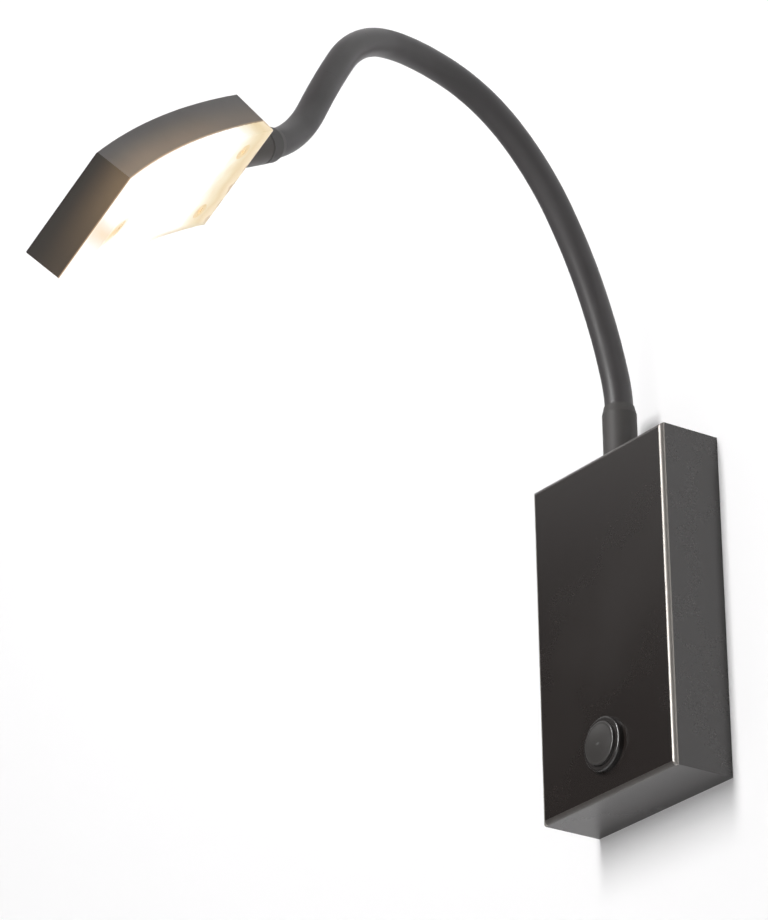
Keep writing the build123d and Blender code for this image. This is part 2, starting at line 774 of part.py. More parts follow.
def neck_sections():
    """The neck's lengths of sleeve and core: section 0 is held by the case, and the last one by the head."""
    set_back = core_gap / 2
    sleeve_start = bend_end(neck_foot, ferrule_seat, 0, 0)
    sleeve_runs = [(neck_foot_length - ferrule_seat, 0, 0), bends[0]]
    yield "neck_sleeve_0", sleeve_section(sleeve_start, sleeve_runs, False, True)
    core_start = bend_end(neck_foot, -spigot_length, 0, 0)
    run = trimmed(bend_end(neck_foot, neck_foot_length, 0, 0), bends[0], 0, set_back)[1]
    yield "neck_core_0", core_section(core_start, [(neck_foot_length + spigot_length, 0, 0), run])
    last = len(bends) - 1
    for i, (start, bend) in enumerate(zip(joints, bends[1:]), 1):
        sleeve_runs = [bend]
        core_start, run = trimmed(start, bend, set_back, 0 if i == last else set_back)
        core_runs = [run]
        if i == last:
            sleeve_runs.append((neck_tail_length - coupling_length - ferrule_seat, 0, 0))
            core_runs.append((neck_tail_length - coupling_length + ferrule_core_depth, 0, 0))
        yield f"neck_sleeve_{i}", sleeve_section(start, sleeve_runs, True, i != last)
        yield f"neck_core_{i}", core_section(core_start, core_runs)


# ---------------------------------------------------------------- head
# The head's own frame: Z runs from its end wall along its length, X across it, and Y out of its back.
# It is part of a ring: every layer is an arc about one centre, on the lit side.
half_skirt = head_skirt / 2
back_radius = (head_length**2 / 4 + head_rise**2) / (2 * head_rise)
axis_radius = back_radius - half_skirt
arch_angle = 2 * math.degrees(math.asin(head_length / 2 / back_radius))
arch_hinge = Axis((0, -axis_radius, 0), (1, 0, 0))
shell_inside = half_skirt - head_wall


def on_arch(distance):
    """The place at a distance along the head, on the ferrule's axis, turned with the arch."""
    return Pos(0, -axis_radius, 0) * Rot(math.degrees(distance / axis_radius), 0, 0) * Pos(0, axis_radius, 0)


arch_length = math.radians(arch_angle) * axis_radius
head_middle = on_arch(arch_length / 2)


def arched(width, low, high, inset=0.0):
    """A layer of the head between two heights, ending short of both ends by an inset."""
    outline = Pos(0, (low + high) / 2) * Rectangle(width, high - low)
    inset_angle = math.degrees(inset / axis_radius)
    return on_arch(inset) * revolve(outline, arch_hinge, arch_angle - 2 * inset_angle)


def lens_screw_places():
    """The lens screws, looking out of the lit face: two by the neck and one at the far end."""
    outward = Rot(90, 0, 0)
    near = on_arch(lens_screw_inset)
    far = on_arch(arch_length - lens_screw_inset)
    face = -half_skirt - lens_thickness
    across = lens_screw_spacing / 2
    return [near * Pos(x, face, 0) * outward for x in (-across, across)] + [far * Pos(0, face, 0) * outward]


def board_screw_places():
    """The board's screws, looking towards the lens."""
    half = board_length / 2 - board_screw_from_end
    return [head_middle * Pos(0, board_face, z) * Rot(90, 0, 0) for z in (-half, half)]


# the flat plate reaches past the lens posts, the board stops short of them
post_from_middle = arch_length / 2 - lens_screw_inset
post_hole_radius = post_diameter / 2 + 2 * hole_clearance
heat_plate_length = 2 * (post_from_middle + post_hole_radius + heat_plate_rim)
heat_plate_width = head_width - 2 * (head_wall + heat_plate_side_gap)
board_length = 2 * (post_from_middle - post_diameter / 2 - board_post_gap)
heat_plate_back = shell_inside - (heat_plate_length / 2) ** 2 / (2 * back_radius) - joint_gap
board_back = heat_plate_back - heat_plate_thickness
board_face = board_back - board_thickness
board_screw_length = board_thickness + heat_plate_thickness + board_screw_grip


def head_shell():
    """The arched housing, open on the lit side, with the posts for the lens and the bosses for the board."""
    shell = arched(head_width, -half_skirt, half_skirt)
    outer = [e for e in shell.edges() if e.center().Y > -half_skirt + head_wall]
    shell = fillet(outer, head_edge_radius)
    shell -= arched(head_width - 2 * head_wall, -head_skirt, shell_inside, head_wall)
    for place in lens_screw_places():
        reach = head_skirt - head_wall / 2
        shell += cylinder(place, post_diameter / 2, reach, -lens_thickness - reach)
    for place in board_screw_places():
        depth = board_thickness + heat_plate_thickness
        reach = half_skirt - head_wall / 2 - heat_plate_back
        shell += cylinder(place, post_diameter / 2, reach, -depth - reach)
    tapped = screw_m3[0] + thread_clearance
    for place in lens_screw_places():
        shell -= cylinder(place, tapped, lens_screw_length, -lens_screw_length - screw_tip_room)
    for place in board_screw_places():
        shell -= cylinder(place, tapped, board_screw_length, -board_screw_length - screw_tip_room)
    shell -= cylinder(Pos(0, 0, -head_wall), coupling_spigot / 2 + hole_clearance, 3 * head_wall)
    return head_frame * shell


def lens():
    """The clear lens: it stands proud of the skirt, its tray drops inside, and its screws are sunk."""
    plate = arched(head_width, -half_skirt - lens_thickness, -half_skirt)
    proud = [e for e in plate.edges() if e.center().Y < -half_skirt - lens_thickness / 4]
    plate = fillet(proud, lens_edge_radius)
    tray_inset = head_wall + hole_clearance
    tray = arched(head_width - 2 * tray_inset, -half_skirt, -half_skirt + lens_tray_depth, tray_inset)
    hollow_inset = tray_inset + lens_tray_wall
    tray -= arched(head_width - 2 * hollow_inset, -half_skirt, -half_skirt + lens_tray_depth, hollow_inset)
    plate += tray
    hole_radius = screw_m3[0] + hole_clearance
    for place in lens_screw_places():
        plate -= cylinder(place, hole_radius, lens_thickness, -lens_thickness)
        plate -= place * Pos(0, 0, -lens_sink / 2) * Cone(hole_radius, lens_head_radius, lens_sink)
        plate -= cylinder(place, lens_head_radius, lens_sink)
    return head_frame * plate


def lens_screws():
    """The three countersunk lens screws."""
    shank_radius = screw_m3[0]
    outline = Polyline(
        (0, -lens_screw_length), (shank_radius, -lens_screw_length), (shank_radius, -lens_sink),
        (lens_head_radius - fit_clearance, 0), (0, 0), close=True,
    )
    screw = revolve(Plane.XZ * make_face(outline), Axis.Z)
    return Compound(children=[head_frame * place * screw for place in lens_screw_places()])


def heat_plate():
    """The flat plate that spreads the board's heat into the housing, cleared for the lens posts."""
    y_range = (board_back, heat_plate_back)
    half = heat_plate_width / 2
    plate = head_middle * box((-half, half), y_range, (-heat_plate_length / 2, heat_plate_length / 2))
    for place in lens_screw_places():
        plate -= cylinder(place, post_hole_radius, 2 * head_skirt, -2 * head_skirt)
    for place in board_screw_places():
        plate -= cylinder(place, screw_m3[0] + hole_clearance, head_skirt, -head_skirt)
    return head_frame * plate


def led_board():
    """The LED board, flat on the heat plate."""
    half = board_width / 2
    board = head_middle * box((-half, half), (board_face, board_back), (-board_length / 2, board_length / 2))
    for place in board_screw_places():
        board -= cylinder(place, screw_m3[0] + hole_clearance, head_skirt, -head_skirt)
    return head_frame * board


def led_chips():
    """The LEDs, in rows on the board."""
    chips = []
    for row in range(chip_rows):
        for column in range(chip_columns):
            x = (row - (chip_rows - 1) / 2) * chip_row_pitch
            z = (column - (chip_columns - 1) / 2) * chip_pitch
            chip = Box(chip_size, chip_height, chip_size)
            chips.append(head_frame * head_middle * Pos(x, board_face - chip_height / 2, z) * chip)
    return Compound(children=chips)


def board_screws():
    """The two screws through the board and the heat plate."""
    places = [head_frame * place for place in board_screw_places()]
    return Compound(children=[pan_screw(place, screw_m3, board_screw_length) for place in places])


def head_coupling():
    """The turned coupling between the neck's ferrule and the housing, threaded through the end wall."""
    outer = ferrule_diameter / 2
    groove = outer - coupling_groove
    core = core_radius + fit_clearance
    lead = coupling_bore / 2
    back = -coupling_length
    groove_end = back + coupling_groove_width
    outline = Polyline(
        (core, back), (groove, back), (groove, groove_end), (outer, groove_end),
        (outer, -coupling_flange_thickness - coupling_flange_slope),
        (coupling_flange / 2, -coupling_flange_thickness), (coupling_flange / 2, 0), (coupling_spigot / 2, 0),
        (coupling_spigot / 2, coupling_spigot_length), (lead, coupling_spigot_length),
        (lead, back + ferrule_core_depth), (core, back + ferrule_core_depth), close=True,
    )
    return head_frame * revolve(Plane.XZ * make_face(outline), Axis.Z)


def head_ferrule():
    """The ferrule that grips the neck's far end, screwed up against the coupling."""
    outer, inner, shoulder_height, height = ferrule_profile(neck_tail_length - coupling_length)
    bore = core_radius + fit_clearance
    outline = Polyline(
        (bore, 0), (outer, 0), (outer, shoulder_height), (inner + ferrule_end_wall, height), (inner, height),
        (inner, ferrule_seat), (bore, ferrule_seat), close=True,
    )
    place = head_frame * Pos(0, 0, -coupling_length) * Rot(180, 0, 0)
    return place * revolve(Plane.XZ * make_face(outline), Axis.Z)


def head_nut():
    """The nut that holds the housing on the coupling."""
    place = head_frame * on_arch(head_wall)
    return hexagon_nut(place, head_nut_flats, head_nut_thickness, coupling_spigot / 2 + thread_clearance)


def head_lead():
    """The lead from the coupling to the board, which it lies against."""
    lie = board_face - lead_diameter / 2 - fit_clearance
    end = board_length / 2
    places = [
        Pos(0, 0, -coupling_length + ferrule_core_depth), Pos(0, 0, coupling_spigot_length + lead_run),
        head_middle * Pos(0, lie, -end - lead_run), head_middle * Pos(0, lie, -end + lead_board_lap),
    ]
    points = [(head_frame * place).position for place in places]
    return path_tube(points, lead_diameter / 2, lead_bend)


# ---------------------------------------------------------------- build
def main():
    """Build every node and write it."""
    save("case_cover", case_cover())
    save("wall_plate", wall_plate())
    save("cover_screws", cover_screws())
    save("cable_grommet", cable_grommet())
    save("cable_clamp", cable_clamp())
    save("cable_clamp_screws", cable_clamp_screws())
    save("terminal_block", terminal_block())
    save("terminal_inserts", terminal_inserts())
    save("terminal_screws", terminal_screws())
    save("terminal_fixing_screws", terminal_fixing_screws())
    save("earth_tag", earth_tag())
    save("earth_screw", earth_screw())
    save("driver_case", driver_case())
    save("driver_screws", driver_screws())
    save("switch_bezel", switch_bezel())
    save("switch_nut", switch_nut())
    save("switch_cap", switch_cap())
    save("switch_spring", switch_spring())
    save("switch_body", switch_body())
    save("switch_tabs", switch_tabs())
    for node, points in case_wires().items():
        save(node, path_tube(points, wire_diameter / 2, wire_bend))
    save("lamp_lead", lamp_lead())
    save("base_ferrule", base_ferrule())
    save("neck_washer", neck_washer())
    save("neck_nut", neck_nut())
    for node, solid in neck_sections():
        save(node, solid)
    save("head_ferrule", head_ferrule())
    save("head_coupling", head_coupling())
    save("head_nut", head_nut())
    save("head_shell", head_shell())
    save("heat_plate", heat_plate())
    save("led_board", led_board())
    save("led_chips", led_chips())
    save("board_screws", board_screws())
    save("lens", lens())
    save("lens_screws", lens_screws())
    save("head_lead", head_lead())


main()
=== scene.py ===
"""Looks of the bedside wall reading lamp.

A powder-coated case, a rubber-sleeved neck and a glowing light bar. Everything is in metres, in the
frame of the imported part: the wall is the plane y = 0, the room is at -Y and up is +Z. Each
sub-assembly is a class that builds its own pieces and dresses the solids that it keeps.
"""

import logging
import math
from dataclasses import dataclass, field
from enum import Enum
from typing import Callable, Sequence, Union

import bpy
from mathutils import Matrix, Vector


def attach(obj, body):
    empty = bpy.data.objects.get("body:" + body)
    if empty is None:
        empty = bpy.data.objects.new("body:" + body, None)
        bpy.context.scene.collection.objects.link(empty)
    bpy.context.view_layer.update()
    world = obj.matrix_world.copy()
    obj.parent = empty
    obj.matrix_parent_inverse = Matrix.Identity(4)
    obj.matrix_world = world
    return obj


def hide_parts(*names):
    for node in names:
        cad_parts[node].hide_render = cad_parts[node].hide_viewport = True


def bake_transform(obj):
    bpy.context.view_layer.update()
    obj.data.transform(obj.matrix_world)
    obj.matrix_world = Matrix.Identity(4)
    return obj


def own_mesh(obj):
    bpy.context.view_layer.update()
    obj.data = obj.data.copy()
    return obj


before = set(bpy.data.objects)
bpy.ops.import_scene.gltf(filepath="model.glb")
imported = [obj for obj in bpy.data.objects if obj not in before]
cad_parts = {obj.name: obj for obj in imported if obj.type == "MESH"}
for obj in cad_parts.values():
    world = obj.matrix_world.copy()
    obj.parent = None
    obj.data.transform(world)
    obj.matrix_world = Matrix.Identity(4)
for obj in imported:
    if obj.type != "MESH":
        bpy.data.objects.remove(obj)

LOG = logging.getLogger("reading_lamp")
MM = 0.001
UPRIGHT = Matrix.Identity(4)
OUT_OF_WALL = Matrix.Rotation(math.radians(90), 4, "X")
CLOUD_DETAIL = 3.0
SMEAR_DETAIL = 4.0

Colour = tuple[float, float, float]
Value = Union["Field", float]
Node = bpy.types.Node
Socket = bpy.types.NodeSocket
Material = bpy.types.Material
Mesh = bpy.types.Mesh
Piece = bpy.types.Object

BLACK: Colour = (0.0, 0.0, 0.0)


# ---- node benches
def maths(operation: str, reflected: bool = False) -> Callable[..., "Field"]:
    """Make a method of Field that adds one Math node.

    Args:
        operation: The node's operation.
        reflected: Whether the field itself comes last.

    Returns:
        The method.
    """

    def method(self: "Field", *others: Value) -> "Field":
        """The operation's result.

        Args:
            others: The operation's other inputs, as fields or numbers.

        Returns:
            The result.
        """
        node = self.tree.nodes.new("ShaderNodeMath")
        node.operation = operation
        for slot, value in zip(node.inputs, (*others, self) if reflected else (self, *others)):
            if isinstance(value, Field):
                self.tree.links.new(value.socket, slot)
            else:
                slot.default_value = value
        return Field(self.tree, node.outputs[0])

    return method


class Field:
    """A shader socket that carries one number and takes part in Python expressions."""

    def __init__(self, tree: bpy.types.NodeTree, socket: Socket) -> None:
        """Wrap one output socket of a tree."""
        self.tree = tree
        self.socket = socket

    __add__ = __radd__ = maths("ADD")
    __sub__ = maths("SUBTRACT")
    __rsub__ = maths("SUBTRACT", reflected=True)
    __mul__ = __rmul__ = maths("MULTIPLY")
    __truediv__ = maths("DIVIDE")
    __abs__ = maths("ABSOLUTE")
    root = maths("SQRT")
    at_most = maths("MINIMUM")
    at_least = maths("MAXIMUM")

    def spread(self, low: float, high: float) -> "Field":
        """This value, which runs from 0 to 1, laid between two numbers."""
        return self * (high - low) + low


class NodeBench:
    """A node tree on the bench: it makes nodes and joins them."""

    def __init__(self, tree: bpy.types.NodeTree) -> None:
        """Take up a tree and clear it."""
        self.tree = tree
        self.tree.nodes.clear()

    def node(self, kind: str, settings: dict | None = None, sockets: dict | None = None) -> Node:
        """Add a node, with its settings made first and its sockets filled after.

        Args:
            kind: The node's type.
            settings: Attributes by name; "stops" holds a ramp's positions and colours.
            sockets: Values or links of its inputs, by name or index.

        Returns:
            The new node.
        """
        node = self.tree.nodes.new(kind)
        for name, value in (settings or {}).items():
            if name != "stops":
                setattr(node, name, value)
                continue
            ramp = node.color_ramp.elements
            while len(ramp) < len(value):
                ramp.new(0.5)
            for element, (position, colour) in zip(ramp, value):
                element.position = position
                element.color = (*colour, 1.0)
        for name, value in (sockets or {}).items():
            self._fill(node.inputs[name], value)
        return node

    def _fill(self, slot: Socket, value: object) -> None:
        """Link or set one input.

        Args:
            slot: The input.
            value: A field, a socket, a number, a name or a tuple.
        """
        if isinstance(value, Field):
            value = value.socket
        if isinstance(value, Socket):
            self.tree.links.new(value, slot)
        elif isinstance(value, tuple) and len(value) == 3 and slot.type == "RGBA":
            slot.default_value = (*value, 1.0)
        else:
            slot.default_value = value

    def field(self, node: Node, output: Union[int, str] = 0) -> Field:
        """One output of a node, ready for expressions."""
        return Field(self.tree, node.outputs[output])

    def axes(self, vector: Socket) -> tuple[Field, ...]:
        """The three parts of a vector."""
        split = self.node("ShaderNodeSeparateXYZ", None, {"Vector": vector})
        return tuple(self.field(split, axis) for axis in range(3))


class Bench(NodeBench):
    """The bench of one material."""

    def __init__(self, name: str) -> None:
        """Start a material with an empty tree.

        Args:
            name: The material's name.
        """
        self.material = bpy.data.materials.new(name)
        self.material.use_nodes = True
        super().__init__(self.material.node_tree)

    def local(self, place: Matrix) -> Socket:
        """Object coordinates as seen from a piece's own place.

        Args:
            place: The piece's frame at rest.

        Returns:
            A vector socket with the local coordinates in metres.
        """
        coordinates = self.node("ShaderNodeTexCoord")
        mapping = self.node("ShaderNodeMapping", {"vector_type": "TEXTURE"}, {
            "Vector": coordinates.outputs["Object"],
            "Location": place.to_translation(),
            "Rotation": place.to_euler(),
        })
        return mapping.outputs["Vector"]

    def noise(self, vector: Socket, size: float, detail: float = 2.0) -> Field:
        """Noise from 0 to 1, with the size of its grains in metres and its finer layers."""
        sockets = {"Vector": vector, "Scale": 1.0 / size, "Detail": detail}
        return self.field(self.node("ShaderNodeTexNoise", None, sockets), "Fac")

    def ramp(self, value: Field, low: float, high: float) -> Field:
        """A value eased in and out, so that low gives 0 and high gives 1."""
        node = self.node("ShaderNodeMapRange", {"interpolation_type": "SMOOTHSTEP"}, {
            "Value": value, "From Min": low, "From Max": high,
        })
        return self.field(node)

    def blend(self, mask: Field, low: object, high: object) -> Socket:
        """A colour between two colours or colour sockets; a mask of 0 gives low."""
        node = self.node("ShaderNodeMix", {"data_type": "RGBA"}, {0: mask, 6: low, 7: high})
        return node.outputs[2]

    def shades(self, mask: Field, colour: Colour, low: float, high: float) -> Socket:
        """A colour that varies between a darker and a lighter share of itself."""
        ends = [tuple(min(part * share, 1.0) for part in colour) for share in (low, high)]
        return self.blend(mask, *ends)

    def principled(self, sockets: dict) -> Material:
        """End the material in a Principled shader with these values and links by name."""
        shader = self.node("ShaderNodeBsdfPrincipled", None, sockets)
        return self.surface(shader.outputs["BSDF"])

    def surface(self, shader: Socket) -> Material:
        """Join a shader to the output and hand over the material."""
        self.node("ShaderNodeOutputMaterial", None, {"Surface": shader})
        return self.material


# ---- finishes
class Grain(Enum):
    """How a surface is roughened."""

    ORANGE_PEEL = "the soft ripple of a powder coat"
    MOULDED = "the fine spark-eroded grain of a mould"
    TURNED = "fine rings left by a lathe"
    ROLLED = "streaks of rolled sheet"


DRAWN_OUT = {Grain.TURNED: (0.06, 0.06, 1.0), Grain.ROLLED: (1.0, 1.0, 0.04)}


@dataclass(frozen=True)
class Finish:
    """An opaque finish with a grain, an uneven tone and a trace of handling."""

    name: str
    colour: Colour
    roughness: float
    metallic: float = 0.0
    coat: float = 0.0
    coat_roughness: float = 0.25
    specular: float = 0.5
    grain: Grain = Grain.MOULDED
    grain_size: float = 0.35 * MM
    grain_depth: float = 0.012 * MM
    grain_gloss: float = 0.04
    peel_coarseness: float = 3.0
    peel_share: float = 0.7
    tone_spread: float = 0.10
    tone_size: float = 16 * MM
    smudge: float = 0.08
    smudge_stretch: float = 1.7
    smudge_edges: tuple[float, float] = (0.45, 0.75)

    def build(self, place: Matrix = UPRIGHT) -> Material:
        """Make the material.

        Args:
            place: The frame whose Z the grain of a turned or rolled piece follows.

        Returns:
            The material.
        """
        bench = Bench(self.name)
        local = bench.local(place)
        tone = bench.noise(local, self.tone_size)
        height = self._grain_height(bench, local)
        bump = bench.node("ShaderNodeBump", None, {
            "Strength": 1.0, "Distance": self.grain_depth, "Height": height,
        })
        smear = bench.noise(local, self.tone_size * self.smudge_stretch, SMEAR_DETAIL)
        smear = bench.ramp(smear, *self.smudge_edges)
        least_rough = self.roughness - (self.smudge + self.grain_gloss) / 2
        sockets = {
            "Base Color": bench.shades(
                tone, self.colour, 1 - self.tone_spread, 1 + self.tone_spread
            ),
            "Metallic": self.metallic,
            "Roughness": smear * self.smudge + height * self.grain_gloss + least_rough,
            "Specular IOR Level": self.specular,
            "Coat Weight": self.coat,
            "Coat Roughness": self.coat_roughness,
            "Normal": bump.outputs["Normal"],
        }
        # Some finishes add painted light here: a painted highlight on the folds, or a painted glow
        # of the lens's light.
        self._add_painted_light(bench, local, sockets)
        return bench.principled(sockets)

    def _add_painted_light(self, bench: Bench, local: Socket, sockets: dict) -> None:
        """Add painted light to the shader where a finish has it; a plain finish has none.

        Args:
            bench: The material's bench.
            local: The piece's own coordinates.
            sockets: The shader's sockets by name, which are changed.
        """

    def _grain_height(self, bench: Bench, local: Socket) -> Field:
        """The height of the grain, from 0 to 1.

        Args:
            bench: The material's bench.
            local: The piece's own coordinates.

        Returns:
            The height field.
        """
        if self.grain is Grain.ORANGE_PEEL:
            fine = bench.noise(local, self.grain_size, 1.0)
            coarse = bench.noise(local, self.grain_size * self.peel_coarseness, 1.0)
            return fine * self.peel_share + coarse * (1 - self.peel_share)
        if self.grain in DRAWN_OUT:
            drawn = bench.node("ShaderNodeMapping", {"vector_type": "POINT"}, {
                "Vector": local, "Scale": DRAWN_OUT[self.grain],
            })
            local = drawn.outputs["Vector"]
        return bench.noise(local, self.grain_size, CLOUD_DETAIL)


@dataclass(frozen=True)
class FoldedCoat(Finish):
    """A coat on folded sheet, with a painted highlight along the outer folds, where it is lighter,
    more metallic and rougher.
    """

    half_width: float = 35 * MM
    half_height: float = 60 * MM
    depth: float = 24 * MM
    fold: float = 1.6 * MM
    feather: float = 0.22
    # The painted highlight's colour, metal and roughness along the folds.
    fold_highlight: Colour = (0.44, 0.415, 0.385)
    fold_highlight_metal: float = 0.8
    fold_highlight_rougher: float = 0.16
    upright_share: float = 0.85
    level_share: float = 0.15
    patch_size: float = 5 * MM
    patch_range: tuple[float, float] = (0.85, 1.15)

    def _add_painted_light(self, bench: Bench, local: Socket, sockets: dict) -> None:
        """Paint a highlight on the folds: the upright ones more than the level ones.

        Args:
            bench, local, sockets: As in a plain finish.
        """
        across, out, up = bench.axes(local)
        front = (out * -1.0 - (self.depth - self.fold)) / self.fold
        side = (abs(across) - (self.half_width - self.fold)) / self.fold
        end = (abs(up) - (self.half_height - self.fold)) / self.fold
        uneven = bench.noise(local, self.patch_size, CLOUD_DETAIL).spread(*self.patch_range)
        upright = bench.ramp(side.at_most(front), 0.0, self.feather) * self.upright_share
        level = bench.ramp(end.at_most(front), 0.0, self.feather) * self.level_share
        # The painted highlight along the folds, patchy in strength.
        fold_highlight_mask = (upright.at_least(level) * uneven).at_most(1.0)
        sockets["Base Color"] = bench.blend(fold_highlight_mask, sockets["Base Color"], self.fold_highlight)
        sockets["Metallic"] = fold_highlight_mask * self.fold_highlight_metal
        sockets["Roughness"] = sockets["Roughness"] + fold_highlight_mask * self.fold_highlight_rougher


@dataclass(frozen=True)
class BarSizes:
    """The light bar's sizes, which its coat and its lens follow too."""

    width: float = 40 * MM
    length: float = 100 * MM
    axis_radius: float = 385.95 * MM
    skirt: float = 12.5 * MM


BAR = BarSizes()


@dataclass(frozen=True)
class RimLitCoat(Finish):
    """A coat with a painted glow of the lens's light along its rim, warmer towards the far end."""

    warm: Colour = (0.150, 0.098, 0.050)
    warm_reach: float = 0.9
    warm_from: float = -0.2 * BAR.length
    warm_to: float = 0.75 * BAR.length
    least_share: float = 0.25
    fringe: Colour = (0.50, 0.34, 0.20)
    fringe_width: float = 0.5 * MM
    patch_size: float = 14 * MM
    patch_range: tuple[float, float] = (0.75, 1.25)

    def _add_painted_light(self, bench: Bench, local: Socket, sockets: dict) -> None:
        """Paint the lens's warm light on as a faint glow that fades away from the rim.

        Args:
            bench, local, sockets: As in a plain finish.
        """
        half_skirt, half_width = BAR.skirt / 2, BAR.width / 2
        across, rise, along = bench.axes(local)
        height = rise + BAR.axis_radius
        drop = ((height * height + along * along).root() - BAR.axis_radius) * -1.0
        cloud = bench.noise(local, self.patch_size, CLOUD_DETAIL).spread(*self.patch_range)
        near_rim = bench.ramp(drop, -self.warm_reach * half_skirt, half_skirt)
        far = bench.ramp(along, self.warm_from, self.warm_to).spread(self.least_share, 1.0)
        side = bench.ramp(across, -half_width, half_width).spread(self.least_share, 1.0)
        warmth = (near_rim * far * side * cloud).at_most(1.0)
        edge = bench.ramp(drop, half_skirt - self.fringe_width, half_skirt)
        # The painted glow of the lens's light on the coat, and a painted bright fringe at the rim.
        lit = bench.blend(warmth, BLACK, self.warm)
        sockets["Emission Color"] = bench.blend(edge * far, lit, self.fringe)
        sockets["Emission Strength"] = 1.0


@dataclass(frozen=True)
class LensLitMetal(Finish):
    """Plated metal set in the glowing lens, with the lens's light through its edge painted on as a
    glow.
    """

    glow: Colour = (0.40, 0.31, 0.18)
    glow_range: tuple[float, float] = (0.85, 1.2)
    patch_size: float = 2.5 * MM

    def _add_painted_light(self, bench: Bench, local: Socket, sockets: dict) -> None:
        """Paint the lens's light on as a glow, a little uneven.

        Args:
            bench, local, sockets: As in a plain finish.
        """
        patchy = bench.noise(local, self.patch_size)
        # The lens's light painted on the screw as a glow.
        sockets["Emission Color"] = bench.shades(patchy, self.glow, *self.glow_range)
        sockets["Emission Strength"] = 1.0


@dataclass(frozen=True)
class GlowingAcrylic:
    """The lit lens: white over the LEDs, cream where no LED stands behind it, and a painted shade
    around the far screw.
    """

    name: str = "lens_glow"
    body: Colour = (0.10, 0.095, 0.085)
    body_range: tuple[float, float] = (1.0, 1.1)
    roughness_range: tuple[float, float] = (0.46, 0.54)
    specular: float = 0.2
    stops: tuple[tuple[float, Colour], ...] = (
        (0.00, (0.60, 0.44, 0.28)),
        (0.05, (0.84, 0.70, 0.50)),
        (0.25, (0.74, 0.59, 0.35)),
        (0.50, (0.84, 0.74, 0.54)),
        (0.80, (1.00, 0.97, 0.91)),
        (0.95, (1.00, 0.985, 0.965)),
    )
    near_band: float = 24 * MM
    band_waver: float = 4 * MM
    patch_size: float = 6 * MM
    low_edge: Colour = (0.70, 0.60, 0.42)
    low_edge_width: float = 3 * MM
    low_edge_fade: tuple[float, float] = (18 * MM, 45 * MM)
    # A painted shade of the far screw: a darker, warmer spot in the glow around it.
    screw_shade: Colour = (0.86, 0.60, 0.30)
    screw_shade_radius: float = 7 * MM
    screw_shade_squeeze: float = 0.45
    screw_shade_waver: float = 1 * MM

    def build(self, place: Matrix, far_screw: float) -> Material:
        """Make the material.

        Args:
            place: The head's frame: X across and Z along it.
            far_screw: How far along the head the far screw is.

        Returns:
            The material.
        """
        bench = Bench(self.name)
        local = bench.local(place)
        across, _, along = bench.axes(local)
        cloud = bench.noise(local, self.patch_size, CLOUD_DETAIL)
        reach = (along + cloud.spread(-self.band_waver, self.band_waver)) / self.near_band
        band = bench.node("ShaderNodeValToRGB", {"stops": self.stops}, {"Fac": reach})
        low_side = -BAR.width / 2
        low = bench.ramp(across, low_side, low_side + self.low_edge_width)
        low = low.at_least(bench.ramp(along, *self.low_edge_fade))
        colour = bench.blend(low, self.low_edge, band.outputs["Color"])
        # Painted shade of the far screw in the lens's glow.
        offset = (along - far_screw) * self.screw_shade_squeeze
        from_screw = (across * across + offset * offset).root()
        from_screw = from_screw + cloud.spread(-self.screw_shade_waver, self.screw_shade_waver)
        colour = bench.blend(bench.ramp(from_screw, 0.0, self.screw_shade_radius), self.screw_shade, colour)
        return bench.principled({
            "Base Color": bench.shades(cloud, self.body, *self.body_range),
            "Roughness": cloud.spread(*self.roughness_range),
            "Specular IOR Level": self.specular,
            "Emission Color": colour,
            "Emission Strength": 1.0,
        })


# The case's coat, with a painted highlight along its folds.
POWDER_COAT = FoldedCoat(
    "powder_coat_black", (0.0150, 0.0110, 0.0096), 0.30, specular=0.85, grain=Grain.ORANGE_PEEL,
    grain_size=0.55 * MM, grain_depth=0.006 * MM, tone_spread=0.08, tone_size=40 * MM,
)
# The head's coat, with a painted glow of the lens's light along its rim.
HEAD_COAT = RimLitCoat(
    "head_coat_black", (0.060, 0.052, 0.046), 0.42, specular=0.38, grain=Grain.ORANGE_PEEL,
    grain_size=0.5 * MM, grain_depth=0.008 * MM, tone_spread=0.08, tone_size=35 * MM,
)
SLEEVE_RUBBER = Finish(
    "sleeve_rubber", (0.062, 0.058, 0.059), 0.50, specular=0.45, grain_size=0.30 * MM,
    grain_depth=0.006 * MM, tone_size=12 * MM, smudge=0.14,
)
FERRULE_BLACK = Finish(
    "ferrule_black", (0.070, 0.066, 0.064), 0.60, specular=0.36, grain=Grain.TURNED,
    grain_size=0.25 * MM, grain_depth=0.003 * MM,
)
COUPLING_BRONZE = Finish(
    "coupling_bronze", (0.030, 0.021, 0.016), 0.45, specular=0.4, grain=Grain.TURNED,
    grain_size=0.25 * MM, grain_depth=0.004 * MM,
)
BEZEL_BLACK = Finish(
    "bezel_black", (0.026, 0.023, 0.022), 0.24, coat=0.6, specular=0.9, grain=Grain.TURNED,
    grain_size=0.2 * MM, grain_depth=0.002 * MM,
)
CAP_BLACK = Finish(
    "cap_black", (0.046, 0.043, 0.041), 0.36, specular=0.8, grain_size=0.25 * MM,
    grain_depth=0.003 * MM, tone_size=6 * MM,
)
ZINC_PLATE = Finish(
    "zinc_plate", (0.56, 0.57, 0.57), 0.38, metallic=1.0, grain=Grain.ROLLED,
    grain_size=0.5 * MM, grain_depth=0.004 * MM, tone_spread=0.12, tone_size=9 * MM,
)
ZINC_SCREW = Finish(
    "zinc_screw", (0.60, 0.60, 0.61), 0.30, metallic=1.0, grain=Grain.TURNED,
    grain_size=0.2 * MM, grain_depth=0.003 * MM, tone_size=3 * MM,
)
